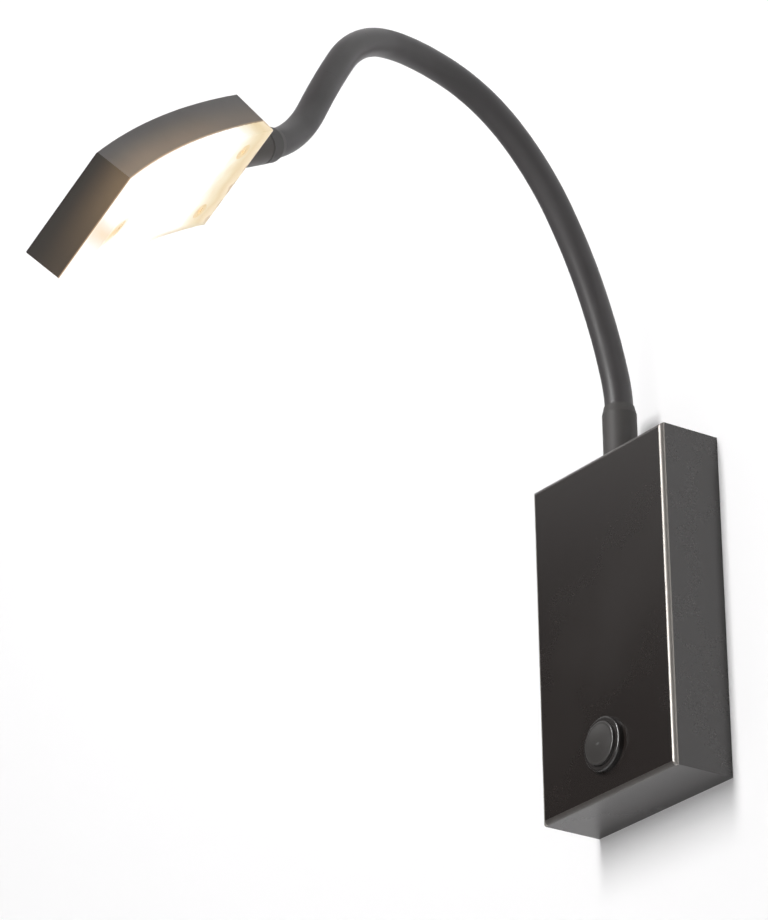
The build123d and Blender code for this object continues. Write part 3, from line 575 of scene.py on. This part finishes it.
# Gilt screws, with the lens's light painted on as a glow.
GILT_SCREW = LensLitMetal(
    "gilt_screw", (0.62, 0.48, 0.28), 0.50, metallic=0.5, grain=Grain.TURNED,
    grain_size=0.2 * MM, grain_depth=0.003 * MM, tone_size=3 * MM,
)
SPRING_STEEL = Finish(
    "spring_steel", (0.42, 0.42, 0.43), 0.32, metallic=1.0, grain=Grain.TURNED
)
TURNED_BRASS = Finish(
    "turned_brass", (0.72, 0.54, 0.27), 0.30, metallic=1.0, grain=Grain.TURNED
)
MILLED_ALUMINIUM = Finish(
    "milled_aluminium", (0.78, 0.79, 0.80), 0.34, metallic=1.0, grain=Grain.ROLLED
)
BLACK_NYLON = Finish("black_nylon", (0.035, 0.035, 0.036), 0.55)
NATURAL_NYLON = Finish("natural_nylon", (0.74, 0.73, 0.68), 0.48)
DRIVER_SHELL = Finish("driver_shell", (0.70, 0.71, 0.71), 0.45)
BOARD_WHITE = Finish("board_white", (0.82, 0.83, 0.80), 0.35, coat=0.3)
PHOSPHOR = Finish("phosphor", (0.85, 0.66, 0.20), 0.4)
BROWN_WIRE = Finish("brown_wire", (0.16, 0.06, 0.03), 0.42)
BLUE_WIRE = Finish("blue_wire", (0.03, 0.09, 0.38), 0.42)
GREEN_WIRE = Finish("green_wire", (0.10, 0.34, 0.06), 0.42)
GREY_WIRE = Finish("grey_wire", (0.28, 0.28, 0.28), 0.42)


# ---- pieces
def dress(material: Material, nodes: Sequence[str]) -> None:
    """Give kept solids their material.

    Args:
        material: The material.
        nodes: The solids' names.
    """
    for node in nodes:
        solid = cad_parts[node]
        solid.data.materials.clear()
        solid.data.materials.append(material)
        LOG.info("dressed %s with %s", node, material.name)


def in_scene(name: str, data: bpy.types.ID) -> Piece:
    """Put an object that holds some data in the scene, at the origin.

    Args:
        name: The object's name.
        data: Its mesh, light or camera.

    Returns:
        The object.
    """
    item = bpy.data.objects.new(name, data)
    bpy.context.scene.collection.objects.link(item)
    LOG.info("placed %s", name)
    return item


def evaluated_mesh(source: Piece) -> Mesh:
    """The plain mesh that an object's modifiers give; the object is then removed.

    Args:
        source: The object with its modifiers.

    Returns:
        The evaluated mesh.
    """
    graph = bpy.context.evaluated_depsgraph_get()
    mesh = bpy.data.meshes.new_from_object(source.evaluated_get(graph))
    bpy.data.objects.remove(source)
    return mesh


def smooth_below(mesh: Mesh, degrees: float) -> None:
    """Shade a mesh smooth, with edges sharper than an angle kept crisp."""
    mesh.shade_smooth()
    mesh.set_sharp_from_angle(angle=math.radians(degrees))


def closed_stack(name: str, rings: Sequence[Sequence[tuple[float, float, float]]]) -> Mesh:
    """A closed mesh through rings of points.

    Args:
        name: The mesh's name.
        rings: Rings from the lowest up, of one count, each anticlockwise from above.

    Returns:
        The mesh, with its faces outwards.
    """
    count = len(rings[0])
    top = count * (len(rings) - 1)
    faces = []
    for low in range(0, top, count):
        for here in range(count):
            after = (here + 1) % count
            faces.append((low + here, low + after, low + count + after, low + count + here))
    faces += [tuple(reversed(range(count))), tuple(range(top, top + count))]
    mesh = bpy.data.meshes.new(name)
    mesh.from_pydata([point for ring in rings for point in ring], [], faces)
    return mesh


class Generator(NodeBench):
    """A Geometry Nodes tree with named inputs, ending in Realize Instances and Set Material."""

    def __init__(self, name: str, inputs: dict[str, str]) -> None:
        """Start a tree.

        Args:
            name: The tree's name.
            inputs: Each input's kind of socket by its name, between geometry and material.
        """
        super().__init__(bpy.data.node_groups.new(name, "GeometryNodeTree"))
        face = self.tree.interface
        for label, kind in {"Geometry": "Geometry", **inputs, "Material": "Material"}.items():
            face.new_socket(label, in_out="INPUT", socket_type=f"NodeSocket{kind}")
        face.new_socket("Geometry", in_out="OUTPUT", socket_type="NodeSocketGeometry")
        self.entry = self.node("NodeGroupInput").outputs

    def close(self, geometry: Socket) -> None:
        """End the tree: real geometry, with its material.

        Args:
            geometry: What the tree has made.
        """
        real = self.node("GeometryNodeRealizeInstances", None, {"Geometry": geometry})
        dressed = self.node("GeometryNodeSetMaterial", None, {
            "Geometry": real.outputs["Geometry"], "Material": self.entry["Material"],
        })
        self.node("NodeGroupOutput", None, {0: dressed.outputs["Geometry"]})

    def run(self, base: Mesh, values: dict, wall: float = 0.0) -> Mesh:
        """Run the tree on a mesh.

        Args:
            base: The mesh that the tree starts from.
            values: The inputs' values by name.
            wall: How thick a wall the result gets, inwards.

        Returns:
            The resulting plain mesh.
        """
        carrier = in_scene("carrier", base)
        modifier = carrier.modifiers.new("generator", "NODES")
        modifier.node_group = self.tree
        for item in self.tree.interface.items_tree:
            if item.in_out == "INPUT" and item.name in values:
                modifier[item.identifier] = values[item.name]
        if wall:
            skin = carrier.modifiers.new("wall", "SOLIDIFY")
            skin.thickness = wall
            skin.offset = -1.0
        return evaluated_mesh(carrier)


# ---- neck route
@dataclass(frozen=True)
class Arc:
    """One bend of the neck."""

    length: float
    turn: float
    toward: float

    def end(self, start: Matrix, share: float = 1.0) -> Matrix:
        """The frame at a share of the arc.

        Args:
            start: The frame at the arc's start: Z along the neck, -Y out.
            share: How much of the arc is followed.

        Returns:
            The frame there, carried along without twist.
        """
        if self.turn == 0:
            return start @ Matrix.Translation((0, 0, self.length * share))
        radius = self.length / math.radians(self.turn)
        aim = Matrix.Rotation(math.radians(self.toward), 4, "Z")
        swing = Matrix.Rotation(math.radians(self.turn * share), 4, "X")
        out = Matrix.Translation((0, -radius, 0))
        return start @ aim @ out @ swing @ out.inverted() @ aim.inverted()


@dataclass(frozen=True)
class NeckRoute:
    """The neck's centre line in its photographed pose."""

    foot: Vector = Vector((0, -13 * MM, 60 * MM))
    foot_length: float = 20 * MM
    tail_length: float = 36 * MM
    first_bend: float = 12 * MM
    bend: float = 31 * MM
    turns: tuple[float, ...] = (12.2, 8.7, 9.5, 17.3, 26.0, 39.4, 35.1, 7.9, 31.4)
    towards: tuple[float, ...] = (0.0, 0.0, 0.0, 0.0, 0.0, 30.0, 2.6, -23.1, 175.1)
    head_roll: float = 31.9

    def arcs(self) -> list[Arc]:
        """Every run of the neck in order, the straight foot and tail among them.

        Returns:
            The runs.
        """
        lengths = [self.first_bend] + [self.bend] * (len(self.turns) - 1)
        bends = [Arc(*values) for values in zip(lengths, self.turns, self.towards)]
        return [Arc(self.foot_length, 0, 0), *bends, Arc(self.tail_length, 0, 0)]

    def at(self, distance: float) -> Matrix:
        """The frame at a distance along the neck.

        Args:
            distance: How far it is from the neck's foot.

        Returns:
            The frame: Z along the neck.
        """
        here = Matrix.Translation(self.foot)
        for arc in self.arcs():
            if distance <= arc.length:
                return arc.end(here, distance / arc.length)
            here = arc.end(here)
            distance -= arc.length
        return here @ Matrix.Translation((0, 0, distance))

    def joint_distances(self) -> list[float]:
        """How far along the neck each joint is."""
        first = self.foot_length + self.first_bend
        return [first + self.bend * i for i in range(len(self.turns) - 1)]

    def length(self) -> float:
        """The whole neck's length."""
        return sum(arc.length for arc in self.arcs())

    def head(self) -> Matrix:
        """The head's frame: Z along it, X across it and -Y on the lit side."""
        return self.at(self.length()) @ Matrix.Rotation(math.radians(self.head_roll), 4, "Z")


ROUTE = NeckRoute()


# ---- screws
@dataclass(frozen=True)
class ScrewHead:
    """A cross-recessed screw: a domed pan head, or a flat sunk one.

    The wall's share is of the head's height, the recess's are of the head's radius.
    """

    shank_radius: float = 1.5 * MM
    shank_length: float = 6 * MM
    tip_share: float = 0.7
    tip_length: float = 0.5 * MM
    head_radius: float = 2.75 * MM
    head_height: float = 1.8 * MM
    wall_share: float = 0.42
    crown_share: float = 0.62
    dome_angle: float = 72.0
    dome_steps: int = 4
    sunk: bool = False
    rim_height: float = 0.12 * MM
    rim_bevel: float = 0.1 * MM
    recess_reach: float = 0.5
    recess_slot: float = 0.16
    recess_depth: float = 0.42
    recess_taper: float = 0.55
    recess_rise: float = 0.5 * MM
    sides: int = 32
    crease: float = 35.0

    def outline(self) -> list[tuple[float, float]]:
        """Half of the screw's outline.

        Returns:
            Radii and heights, from its tip to its crown.
        """
        thin, wide, wall = self.shank_radius, self.head_radius, self.head_height * self.wall_share
        shank = [(thin * self.tip_share, -self.shank_length),
                 (thin, self.tip_length - self.shank_length)]
        if self.sunk:
            rim = [(wide, -self.rim_height), (wide - self.rim_bevel, 0.0)]
            return [*shank, (thin, -self.head_height), *rim]
        head = [(thin, 0.0), (wide, 0.0), (wide, wall)]
        for step in range(1, self.dome_steps + 1):
            angle = math.radians(self.dome_angle * step / self.dome_steps)
            radius = wide * (self.crown_share + (1 - self.crown_share) * math.cos(angle))
            rise = math.sin(angle) / math.sin(math.radians(self.dome_angle))
            head.append((radius, wall + (self.head_height - wall) * rise))
        return shank + head

    def mesh(self) -> Mesh:
        """The screw as a mesh, along Z with its seat or its face at the origin.

        Returns:
            The mesh, with its recess cut.
        """
        turns = [math.tau * side / self.sides for side in range(self.sides)]
        blank = closed_stack("screw", [
            [(radius * math.cos(turn), radius * math.sin(turn), height) for turn in turns]
            for radius, height in self.outline()
        ])
        mesh = self._cut_recess(blank)
        smooth_below(mesh, self.crease)
        return mesh

    def _cut_recess(self, blank: Mesh) -> Mesh:
        """Cut the cross recess into the head.

        Args:
            blank: The screw without its recess.

        Returns:
            The screw with it.
        """
        top = 0.0 if self.sunk else self.head_height
        bottom = top - self.head_radius * self.recess_depth
        reach, slot = self.head_radius * self.recess_reach, self.head_radius * self.recess_slot
        cross = [(slot, slot), (slot, reach), (-slot, reach)]
        for _ in range(3):
            cross += [(-y, x) for x, y in cross[-3:]]
        body = in_scene("screw_blank", blank)
        tool = in_scene("recess_tool", closed_stack("recess", [
            [(x * self.recess_taper, y * self.recess_taper, bottom) for x, y in cross],
            [(x, y, top + self.recess_rise) for x, y in cross],
        ]))
        cut = body.modifiers.new("recess", "BOOLEAN")
        cut.operation = "DIFFERENCE"
        cut.solver = "EXACT"
        cut.object = tool
        mesh = evaluated_mesh(body)
        bpy.data.objects.remove(tool)
        return mesh


class ScrewSet:
    """Screws of one kind, set by Geometry Nodes at their places."""

    def __init__(self) -> None:
        """Make the tree once; every set of screws uses it."""
        self.maker = Generator("screw_setter", {"Screw": "Object"})
        node, entry = self.maker.node, self.maker.entry
        facing = node(
            "GeometryNodeInputNamedAttribute", {"data_type": "FLOAT_VECTOR"}, {"Name": "facing"}
        )
        aim = node("FunctionNodeAlignRotationToVector", {"axis": "Z"}, {
            "Vector": facing.outputs["Attribute"],
        })
        screw = node("GeometryNodeObjectInfo", None, {"Object": entry["Screw"]})
        points = node("GeometryNodeMeshToPoints", None, {"Mesh": entry["Geometry"]})
        set_out = node("GeometryNodeInstanceOnPoints", None, {
            "Points": points.outputs["Points"],
            "Instance": screw.outputs["Geometry"],
            "Rotation": aim.outputs["Rotation"],
        })
        self.maker.close(set_out.outputs["Instances"])

    def place(self, name: str, body: str, node: str, screw: ScrewHead,
              places: Sequence[Matrix], finish: Material) -> None:
        """Build one set and let it stand for its solid.

        Args:
            name: The piece's name.
            body: The body that it rides on.
            node: The solid that it replaces.
            screw: The kind of screw.
            places: Frames at the screws' seats, with Z out of the head.
            finish: Its material.
        """
        spots = bpy.data.meshes.new(name)
        spots.from_pydata([place.to_translation() for place in places], [], [])
        facing = spots.attributes.new("facing", "FLOAT_VECTOR", "POINT")
        for item, place in zip(facing.data, places):
            item.vector = place.to_3x3() @ Vector((0, 0, 1))
        sample = in_scene("screw_sample", screw.mesh())
        mesh = self.maker.run(spots, {"Screw": sample, "Material": finish})
        bpy.data.objects.remove(sample)
        smooth_below(mesh, screw.crease)
        piece = in_scene(name, mesh)
        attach(piece, body)
        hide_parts(node)


# ---- case
@dataclass
class SwitchSpring:
    """The coil spring under the button, which shortens as the button goes in."""

    centre_height: float = -42.5 * MM
    front: float = -24 * MM
    top: float = 2.05 * MM
    length: float = 7.4 * MM
    travel: float = 2 * MM
    coil_radius: float = 3.3 * MM
    wire_radius: float = 0.3 * MM
    turns: float = 4.0
    steps_a_turn: int = 28
    wire_sides: int = 10
    crease: float = 40.0

    def build(self, finish: Material) -> None:
        """Wind the spring and set it on the base.

        Args:
            finish: Its material.
        """
        maker = Generator("spring_winder", {
            "Turns": "Float", "Coil Radius": "Float", "Height": "Float", "Wire Radius": "Float",
        })
        entry = maker.entry
        helix = maker.node("GeometryNodeCurveSpiral", None, {
            "Resolution": self.steps_a_turn, "Rotations": entry["Turns"],
            "Start Radius": entry["Coil Radius"], "End Radius": entry["Coil Radius"],
            "Height": entry["Height"],
        })
        ring = maker.node("GeometryNodeCurvePrimitiveCircle", None, {
            "Radius": entry["Wire Radius"], "Resolution": self.wire_sides,
        })
        wire = maker.node("GeometryNodeCurveToMesh", None, {
            "Curve": helix.outputs["Curve"], "Profile Curve": ring.outputs["Curve"],
            "Fill Caps": True,
        })
        maker.close(wire.outputs["Mesh"])
        mesh = maker.run(bpy.data.meshes.new("spring_seed"), {
            "Turns": self.turns, "Coil Radius": self.coil_radius,
            "Height": self.length - 2 * self.wire_radius,
            "Wire Radius": self.wire_radius, "Material": finish,
        })
        near_end = self.front + self.top + self.wire_radius
        standing = Matrix.Translation((0, near_end, self.centre_height))
        mesh.transform(standing @ OUT_OF_WALL.inverted())
        smooth_below(mesh, self.crease)
        spring = in_scene("switch_spring_coil", mesh)
        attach(spring, "base")
        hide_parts("switch_spring")
        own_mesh(spring)


@dataclass
class Case:
    """The steel case on the wall, with its switch and what it holds."""

    screws: ScrewSet
    cover_screw_spacing: float = 48 * MM
    cover_screw_from_wall: float = 7 * MM
    half_height: float = 60 * MM

    def build(self) -> None:
        """Dress the case's solids, set the cover's screws and wind the switch's spring."""
        for finish, place, *nodes in (
            (POWDER_COAT, UPRIGHT, "case_cover"),
            (ZINC_PLATE, UPRIGHT, "wall_plate"),
            (FERRULE_BLACK, Matrix.Translation(ROUTE.foot), "base_ferrule"),
            (BEZEL_BLACK, OUT_OF_WALL, "switch_bezel"),
            (CAP_BLACK, OUT_OF_WALL, "switch_cap"),
            (ZINC_SCREW, OUT_OF_WALL, "switch_nut", "neck_nut", "neck_washer",
             "cable_clamp_screws", "terminal_screws", "terminal_fixing_screws", "earth_screw",
             "driver_screws"),
            (TURNED_BRASS, UPRIGHT, "terminal_inserts", "earth_tag", "switch_tabs"),
            (BLACK_NYLON, UPRIGHT, "cable_grommet", "switch_body"),
            (NATURAL_NYLON, UPRIGHT, "terminal_block", "cable_clamp"),
            (DRIVER_SHELL, UPRIGHT, "driver_case"),
            (BROWN_WIRE, UPRIGHT, "live_wire", "switched_wire"),
            (BLUE_WIRE, UPRIGHT, "neutral_wire"),
            (GREEN_WIRE, UPRIGHT, "earth_wire"),
            (GREY_WIRE, UPRIGHT, "lamp_lead"),
        ):
            dress(finish.build(place), nodes)
        half = self.cover_screw_spacing / 2
        places = [
            Matrix.Translation((x, -self.cover_screw_from_wall, self.half_height))
            for x in (-half, half)
        ]
        self.screws.place(
            "cover_screw_pair", "base", "cover_screws", ScrewHead(), places, ZINC_SCREW.build()
        )
        SwitchSpring().build(SPRING_STEEL.build(OUT_OF_WALL))


# ---- neck
@dataclass
class Neck:
    """The soft sleeve over the steel core: one smooth skin, swept in lengths that each span one
    joint.
    """

    radius: float = 4.85 * MM
    bore: float = 3.25 * MM
    seat: float = 2 * MM
    head_coupling_length: float = 27.5 * MM
    step: float = 0.8 * MM
    sides: int = 56
    reach: float = 13 * MM
    first_reach: float = 8 * MM
    crease: float = 40.0
    maker: Generator = field(init=False)

    def __post_init__(self) -> None:
        """Make the tree that sweeps the sleeve."""
        self.maker = Generator("sleeve_sweep", {"Radius": "Float", "Sides": "Int"})
        node, entry = self.maker.node, self.maker.entry
        curve = node("GeometryNodeMeshToCurve", None, {"Mesh": entry["Geometry"]})
        ring = node("GeometryNodeCurvePrimitiveCircle", None, {
            "Radius": entry["Radius"], "Resolution": entry["Sides"],
        })
        tube = node("GeometryNodeCurveToMesh", None, {
            "Curve": curve.outputs["Curve"], "Profile Curve": ring.outputs["Curve"],
        })
        self.maker.close(tube.outputs["Mesh"])

    def build(self) -> None:
        """Sweep the sleeve in lengths, each across one joint, and dress the core."""
        rubber = SLEEVE_RUBBER.build()
        joints = ROUTE.joint_distances()
        bodies = ["base", *(f"neck_{i}" for i in range(1, len(joints))), "head"]
        cuts = [joints[0] - self.first_reach] + [joint + ROUTE.bend / 2 for joint in joints]
        foot = self._sweep("sleeve_foot", self.seat, cuts[0], rubber)
        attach(foot, "base")
        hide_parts("neck_sleeve_0")
        for i, joint in enumerate(joints):
            piece = self._sweep(f"sleeve_bend_{i + 1}", cuts[i], cuts[i + 1], rubber)
            here = ROUTE.at(joint)
            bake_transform(piece)
            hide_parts(f"neck_sleeve_{i + 1}")
        tail_end = ROUTE.length() - self.head_coupling_length - self.seat
        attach(self._sweep("sleeve_tail", cuts[-1], tail_end, rubber), "head")
        dress(SPRING_STEEL.build(), [f"neck_core_{i}" for i in range(len(bodies))])

    def _sweep(self, name: str, start: float, end: float, finish: Material) -> Piece:
        """One length of sleeve.

        Args:
            name: The piece's name.
            start: Where it starts along the neck.
            end: Where it ends along the neck.
            finish: Its material.

        Returns:
            The piece, not yet on a body.
        """
        count = max(int(round((end - start) / self.step)), 2)
        line = bpy.data.meshes.new(name)
        line.from_pydata([
            ROUTE.at(start + (end - start) * i / count).to_translation() for i in range(count + 1)
        ], [(i, i + 1) for i in range(count)], [])
        values = {"Radius": self.radius, "Sides": self.sides, "Material": finish}
        mesh = self.maker.run(line, values, self.radius - self.bore)
        smooth_below(mesh, self.crease)
        return in_scene(name, mesh)


# ---- head
@dataclass
class Head:
    """The arched light bar."""

    screws: ScrewSet
    lens_thickness: float = 4.5 * MM
    screw_inset: float = 11.5 * MM
    screw_spacing: float = 24.8 * MM
    screw: ScrewHead = ScrewHead(head_radius=2.95 * MM, shank_length=12 * MM, sunk=True)

    def along(self, distance: float) -> Matrix:
        """The frame at a distance along the head.

        Args:
            distance: How far it is from the head's near end.

        Returns:
            The frame, turned with the head's arch.
        """
        out = Matrix.Translation((0, -BAR.axis_radius, 0))
        swing = Matrix.Rotation(distance / BAR.axis_radius, 4, "X")
        return ROUTE.head() @ out @ swing @ out.inverted()

    def build(self) -> None:
        """Dress the head's solids, light its lens and set its screws."""
        place = ROUTE.head()
        dress(HEAD_COAT.build(place), ["head_shell"])
        dress(GlowingAcrylic().build(place, BAR.length - self.screw_inset), ["lens"])
        for finish, *nodes in (
            (COUPLING_BRONZE, "head_coupling"),
            (FERRULE_BLACK, "head_ferrule"),
            (ZINC_SCREW, "head_nut", "board_screws"),
            (MILLED_ALUMINIUM, "heat_plate"),
            (BOARD_WHITE, "led_board"),
            (PHOSPHOR, "led_chips"),
            (GREY_WIRE, "head_lead"),
        ):
            dress(finish.build(place), nodes)
        self._set_lens_screws()

    def _set_lens_screws(self) -> None:
        """The three sunk screws of the lens."""
        half_angle = math.asin(BAR.length / 2 / (BAR.axis_radius + BAR.skirt / 2))
        near = self.along(self.screw_inset)
        far = self.along(2 * half_angle * BAR.axis_radius - self.screw_inset)
        face = -(BAR.skirt / 2 + self.lens_thickness)
        half = self.screw_spacing / 2
        places = [
            spot @ Matrix.Translation((x, face, 0)) @ OUT_OF_WALL
            for spot, x in ((near, -half), (near, half), (far, 0))
        ]
        self.screws.place(
            "lens_screw_set", "head", "lens_screws", self.screw, places, GILT_SCREW.build()
        )


# ---- studio
@dataclass(frozen=True)
class Softbox:
    """An area light that looks at the lamp from one side."""

    name: str
    bearing: float
    elevation: float
    distance: float
    width: float
    height: float
    power: float

    def place(self, target: Vector) -> Piece:
        """Stand the light up.

        Args:
            target: What it looks at.

        Returns:
            The light's object.
        """
        side, rise = math.radians(self.bearing), math.radians(self.elevation)
        level = Vector((math.sin(side), -math.cos(side), 0)) * math.cos(rise)
        towards = level + Vector((0, 0, math.sin(rise)))
        data = bpy.data.lights.new(self.name, "AREA")
        data.shape = "RECTANGLE"
        data.size = self.width
        data.size_y = self.height
        data.energy = self.power
        light = in_scene(self.name, data)
        light.location = target + towards * self.distance
        light.rotation_mode = "QUATERNION"
        light.rotation_quaternion = (-towards).to_track_quat("-Z", "Y")
        light.visible_camera = False
        return light


@dataclass
class Studio:
    """The white wall, the pale floor, the soft lights and the camera."""

    wall_size: float = 6.0
    wall_inset: float = 0.2 * MM
    wall_glow: float = 0.15
    floor_drop: float = 1.3
    plaster: tuple[Colour, Colour] = ((0.800, 0.797, 0.800), (0.806, 0.803, 0.806))
    plaster_patch: float = 40 * MM
    glow_colour: Colour = (1.0, 0.992, 1.0)
    sky_colour: Colour = (1.0, 0.995, 0.99)
    world_fill: float = 0.12
    world_gloss: float = 0.05
    world_behind: float = 0.6
    behind_rise: float = 4.0
    lit_point: Vector = Vector((0.0, -0.02, 0.0))
    key: Softbox = Softbox("key_strip", -2.0, 22.5, 1.48, 0.30, 1.22, 23.0)
    fill: Softbox = Softbox("fill_box", -58.0, 38.0, 1.30, 0.55, 0.55, 0.75)
    bounce: Softbox = Softbox("bounce_box", 50.0, -42.0, 1.60, 1.0, 1.0, 1.2)
    camera_place: Vector = Vector((1.14608, -0.94085, -0.59721))
    camera_azimuth: float = math.radians(54.10)
    camera_elevation: float = math.radians(-24.16)
    camera_roll: float = math.radians(-0.968)
    camera_far: float = 50.0
    focal_pixels: float = 4806.8
    picture_height: float = 920.0
    sensor: float = 36.0

    def build(self) -> None:
        """Set the whole stage."""
        bpy.context.scene.view_settings.view_transform = "Standard"
        # The wall is a hair inside the case's back, so that the back stays lit from behind.
        wall = Matrix.Translation((0, -self.wall_inset, 0)) @ OUT_OF_WALL
        self._plane("wall", wall, "wall_white")
        floor = Matrix.Translation((0, -self.wall_size / 2, -self.floor_drop))
        self._plane("floor", floor, "floor_pale")
        self._world()
        self._lights()
        self._camera()

    def _plane(self, name: str, place: Matrix, finish: str) -> None:
        """A large pale square of the stage.

        Args:
            name: Its name.
            place: Its frame, with Z out of its face.
            finish: Its material's name.
        """
        half = self.wall_size / 2
        corners = ((-half, -half), (half, -half), (half, half), (-half, half))
        mesh = bpy.data.meshes.new(name)
        mesh.from_pydata([place @ Vector((x, y, 0)) for x, y in corners], [], [(0, 1, 2, 3)])
        mesh.materials.append(self._pale_finish(finish))
        in_scene(name, mesh)

    def _pale_finish(self, name: str) -> Material:
        """A pale matt finish that reads as white to the eye and in gloss, clear from its back.

        Args:
            name: The material's name.

        Returns:
            The material.
        """
        bench = Bench(name)
        path = bench.node("ShaderNodeLightPath")
        seen = bench.field(path, "Is Camera Ray").at_least(bench.field(path, "Is Glossy Ray"))
        seen = seen.at_least(bench.field(path, "Is Transmission Ray"))
        patches = bench.noise(bench.local(UPRIGHT), self.plaster_patch)
        matt = bench.node("ShaderNodeBsdfDiffuse", None, {
            "Color": bench.blend(patches, *self.plaster),
        })
        light = bench.node("ShaderNodeEmission", None, {
            "Color": self.glow_colour, "Strength": seen * self.wall_glow,
        })
        both = bench.node("ShaderNodeAddShader", None, {0: matt.outputs[0], 1: light.outputs[0]})
        clear = bench.node("ShaderNodeBsdfTransparent")
        facing = bench.node("ShaderNodeNewGeometry")
        side = bench.node("ShaderNodeMixShader", None, {
            0: facing.outputs["Backfacing"], 1: both.outputs[0], 2: clear.outputs[0],
        })
        return bench.surface(side.outputs[0])

    def _world(self) -> None:
        """White to the eye, dim in gloss, a plain fill on matt, and bright behind the wall."""
        world = bpy.data.worlds.new("studio_white")
        bpy.context.scene.world = world
        world.use_nodes = True
        bench = NodeBench(world.node_tree)
        path = bench.node("ShaderNodeLightPath")
        seen = bench.field(path, "Is Camera Ray").at_least(bench.field(path, "Is Transmission Ray"))
        unseen = bench.field(path, "Is Glossy Ray").spread(self.world_fill, self.world_gloss)
        heading = bench.node("ShaderNodeTexCoord")
        _, depth, _ = bench.axes(heading.outputs["Generated"])
        behind = (depth * self.behind_rise).at_least(0.0).at_most(1.0)
        strength = seen.at_least(unseen).at_least(behind * self.world_behind)
        sky = bench.node("ShaderNodeBackground", None, {
            "Color": self.sky_colour, "Strength": strength,
        })
        bench.node("ShaderNodeOutputWorld", None, {"Surface": sky.outputs[0]})

    def _lights(self) -> None:
        """A tall strip in front and above, a dim box at the left and light from below.

        Only the case, its ferrule and its switch throw shadows, and only from the strip.
        """
        throwers = bpy.data.collections.new("shadow_throwers")
        for node in ("case_cover", "wall_plate", "switch_bezel", "switch_cap", "base_ferrule"):
            throwers.objects.link(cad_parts[node])
        nothing = bpy.data.collections.new("no_throwers")
        for softbox, blockers in (
            (self.key, throwers), (self.fill, nothing), (self.bounce, nothing)
        ):
            softbox.place(self.lit_point).light_linking.blocker_collection = blockers

    def _camera(self) -> None:
        """The camera at the photograph's place."""
        turn, tilt, roll = self.camera_azimuth, self.camera_elevation, self.camera_roll
        level = Vector((-math.sin(turn), math.cos(turn), 0)) * math.cos(tilt)
        ahead = level + Vector((0, 0, -math.sin(tilt)))
        right = Vector((math.cos(turn), math.sin(turn), 0))
        up = right.cross(ahead)
        rolled_right = math.cos(roll) * right + math.sin(roll) * up
        rolled_up = -math.sin(roll) * right + math.cos(roll) * up
        matrix = Matrix((rolled_right, rolled_up, -ahead)).transposed().to_4x4()
        matrix.translation = self.camera_place
        data = bpy.data.cameras.new("photo_camera")
        data.sensor_width = self.sensor
        data.lens = self.focal_pixels * self.sensor / self.picture_height
        data.clip_end = self.camera_far
        camera = in_scene("photo_camera", data)
        camera.matrix_world = matrix
        bpy.context.scene.camera = camera


def main() -> None:
    """Build the lamp's looks in order."""
    logging.basicConfig(level=logging.INFO, format="%(name)s: %(message)s")
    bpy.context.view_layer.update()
    screws = ScrewSet()
    for section in (Case(screws), Neck(), Head(screws), Studio()):
        section.build()


if __name__ == "__main__":
    main()
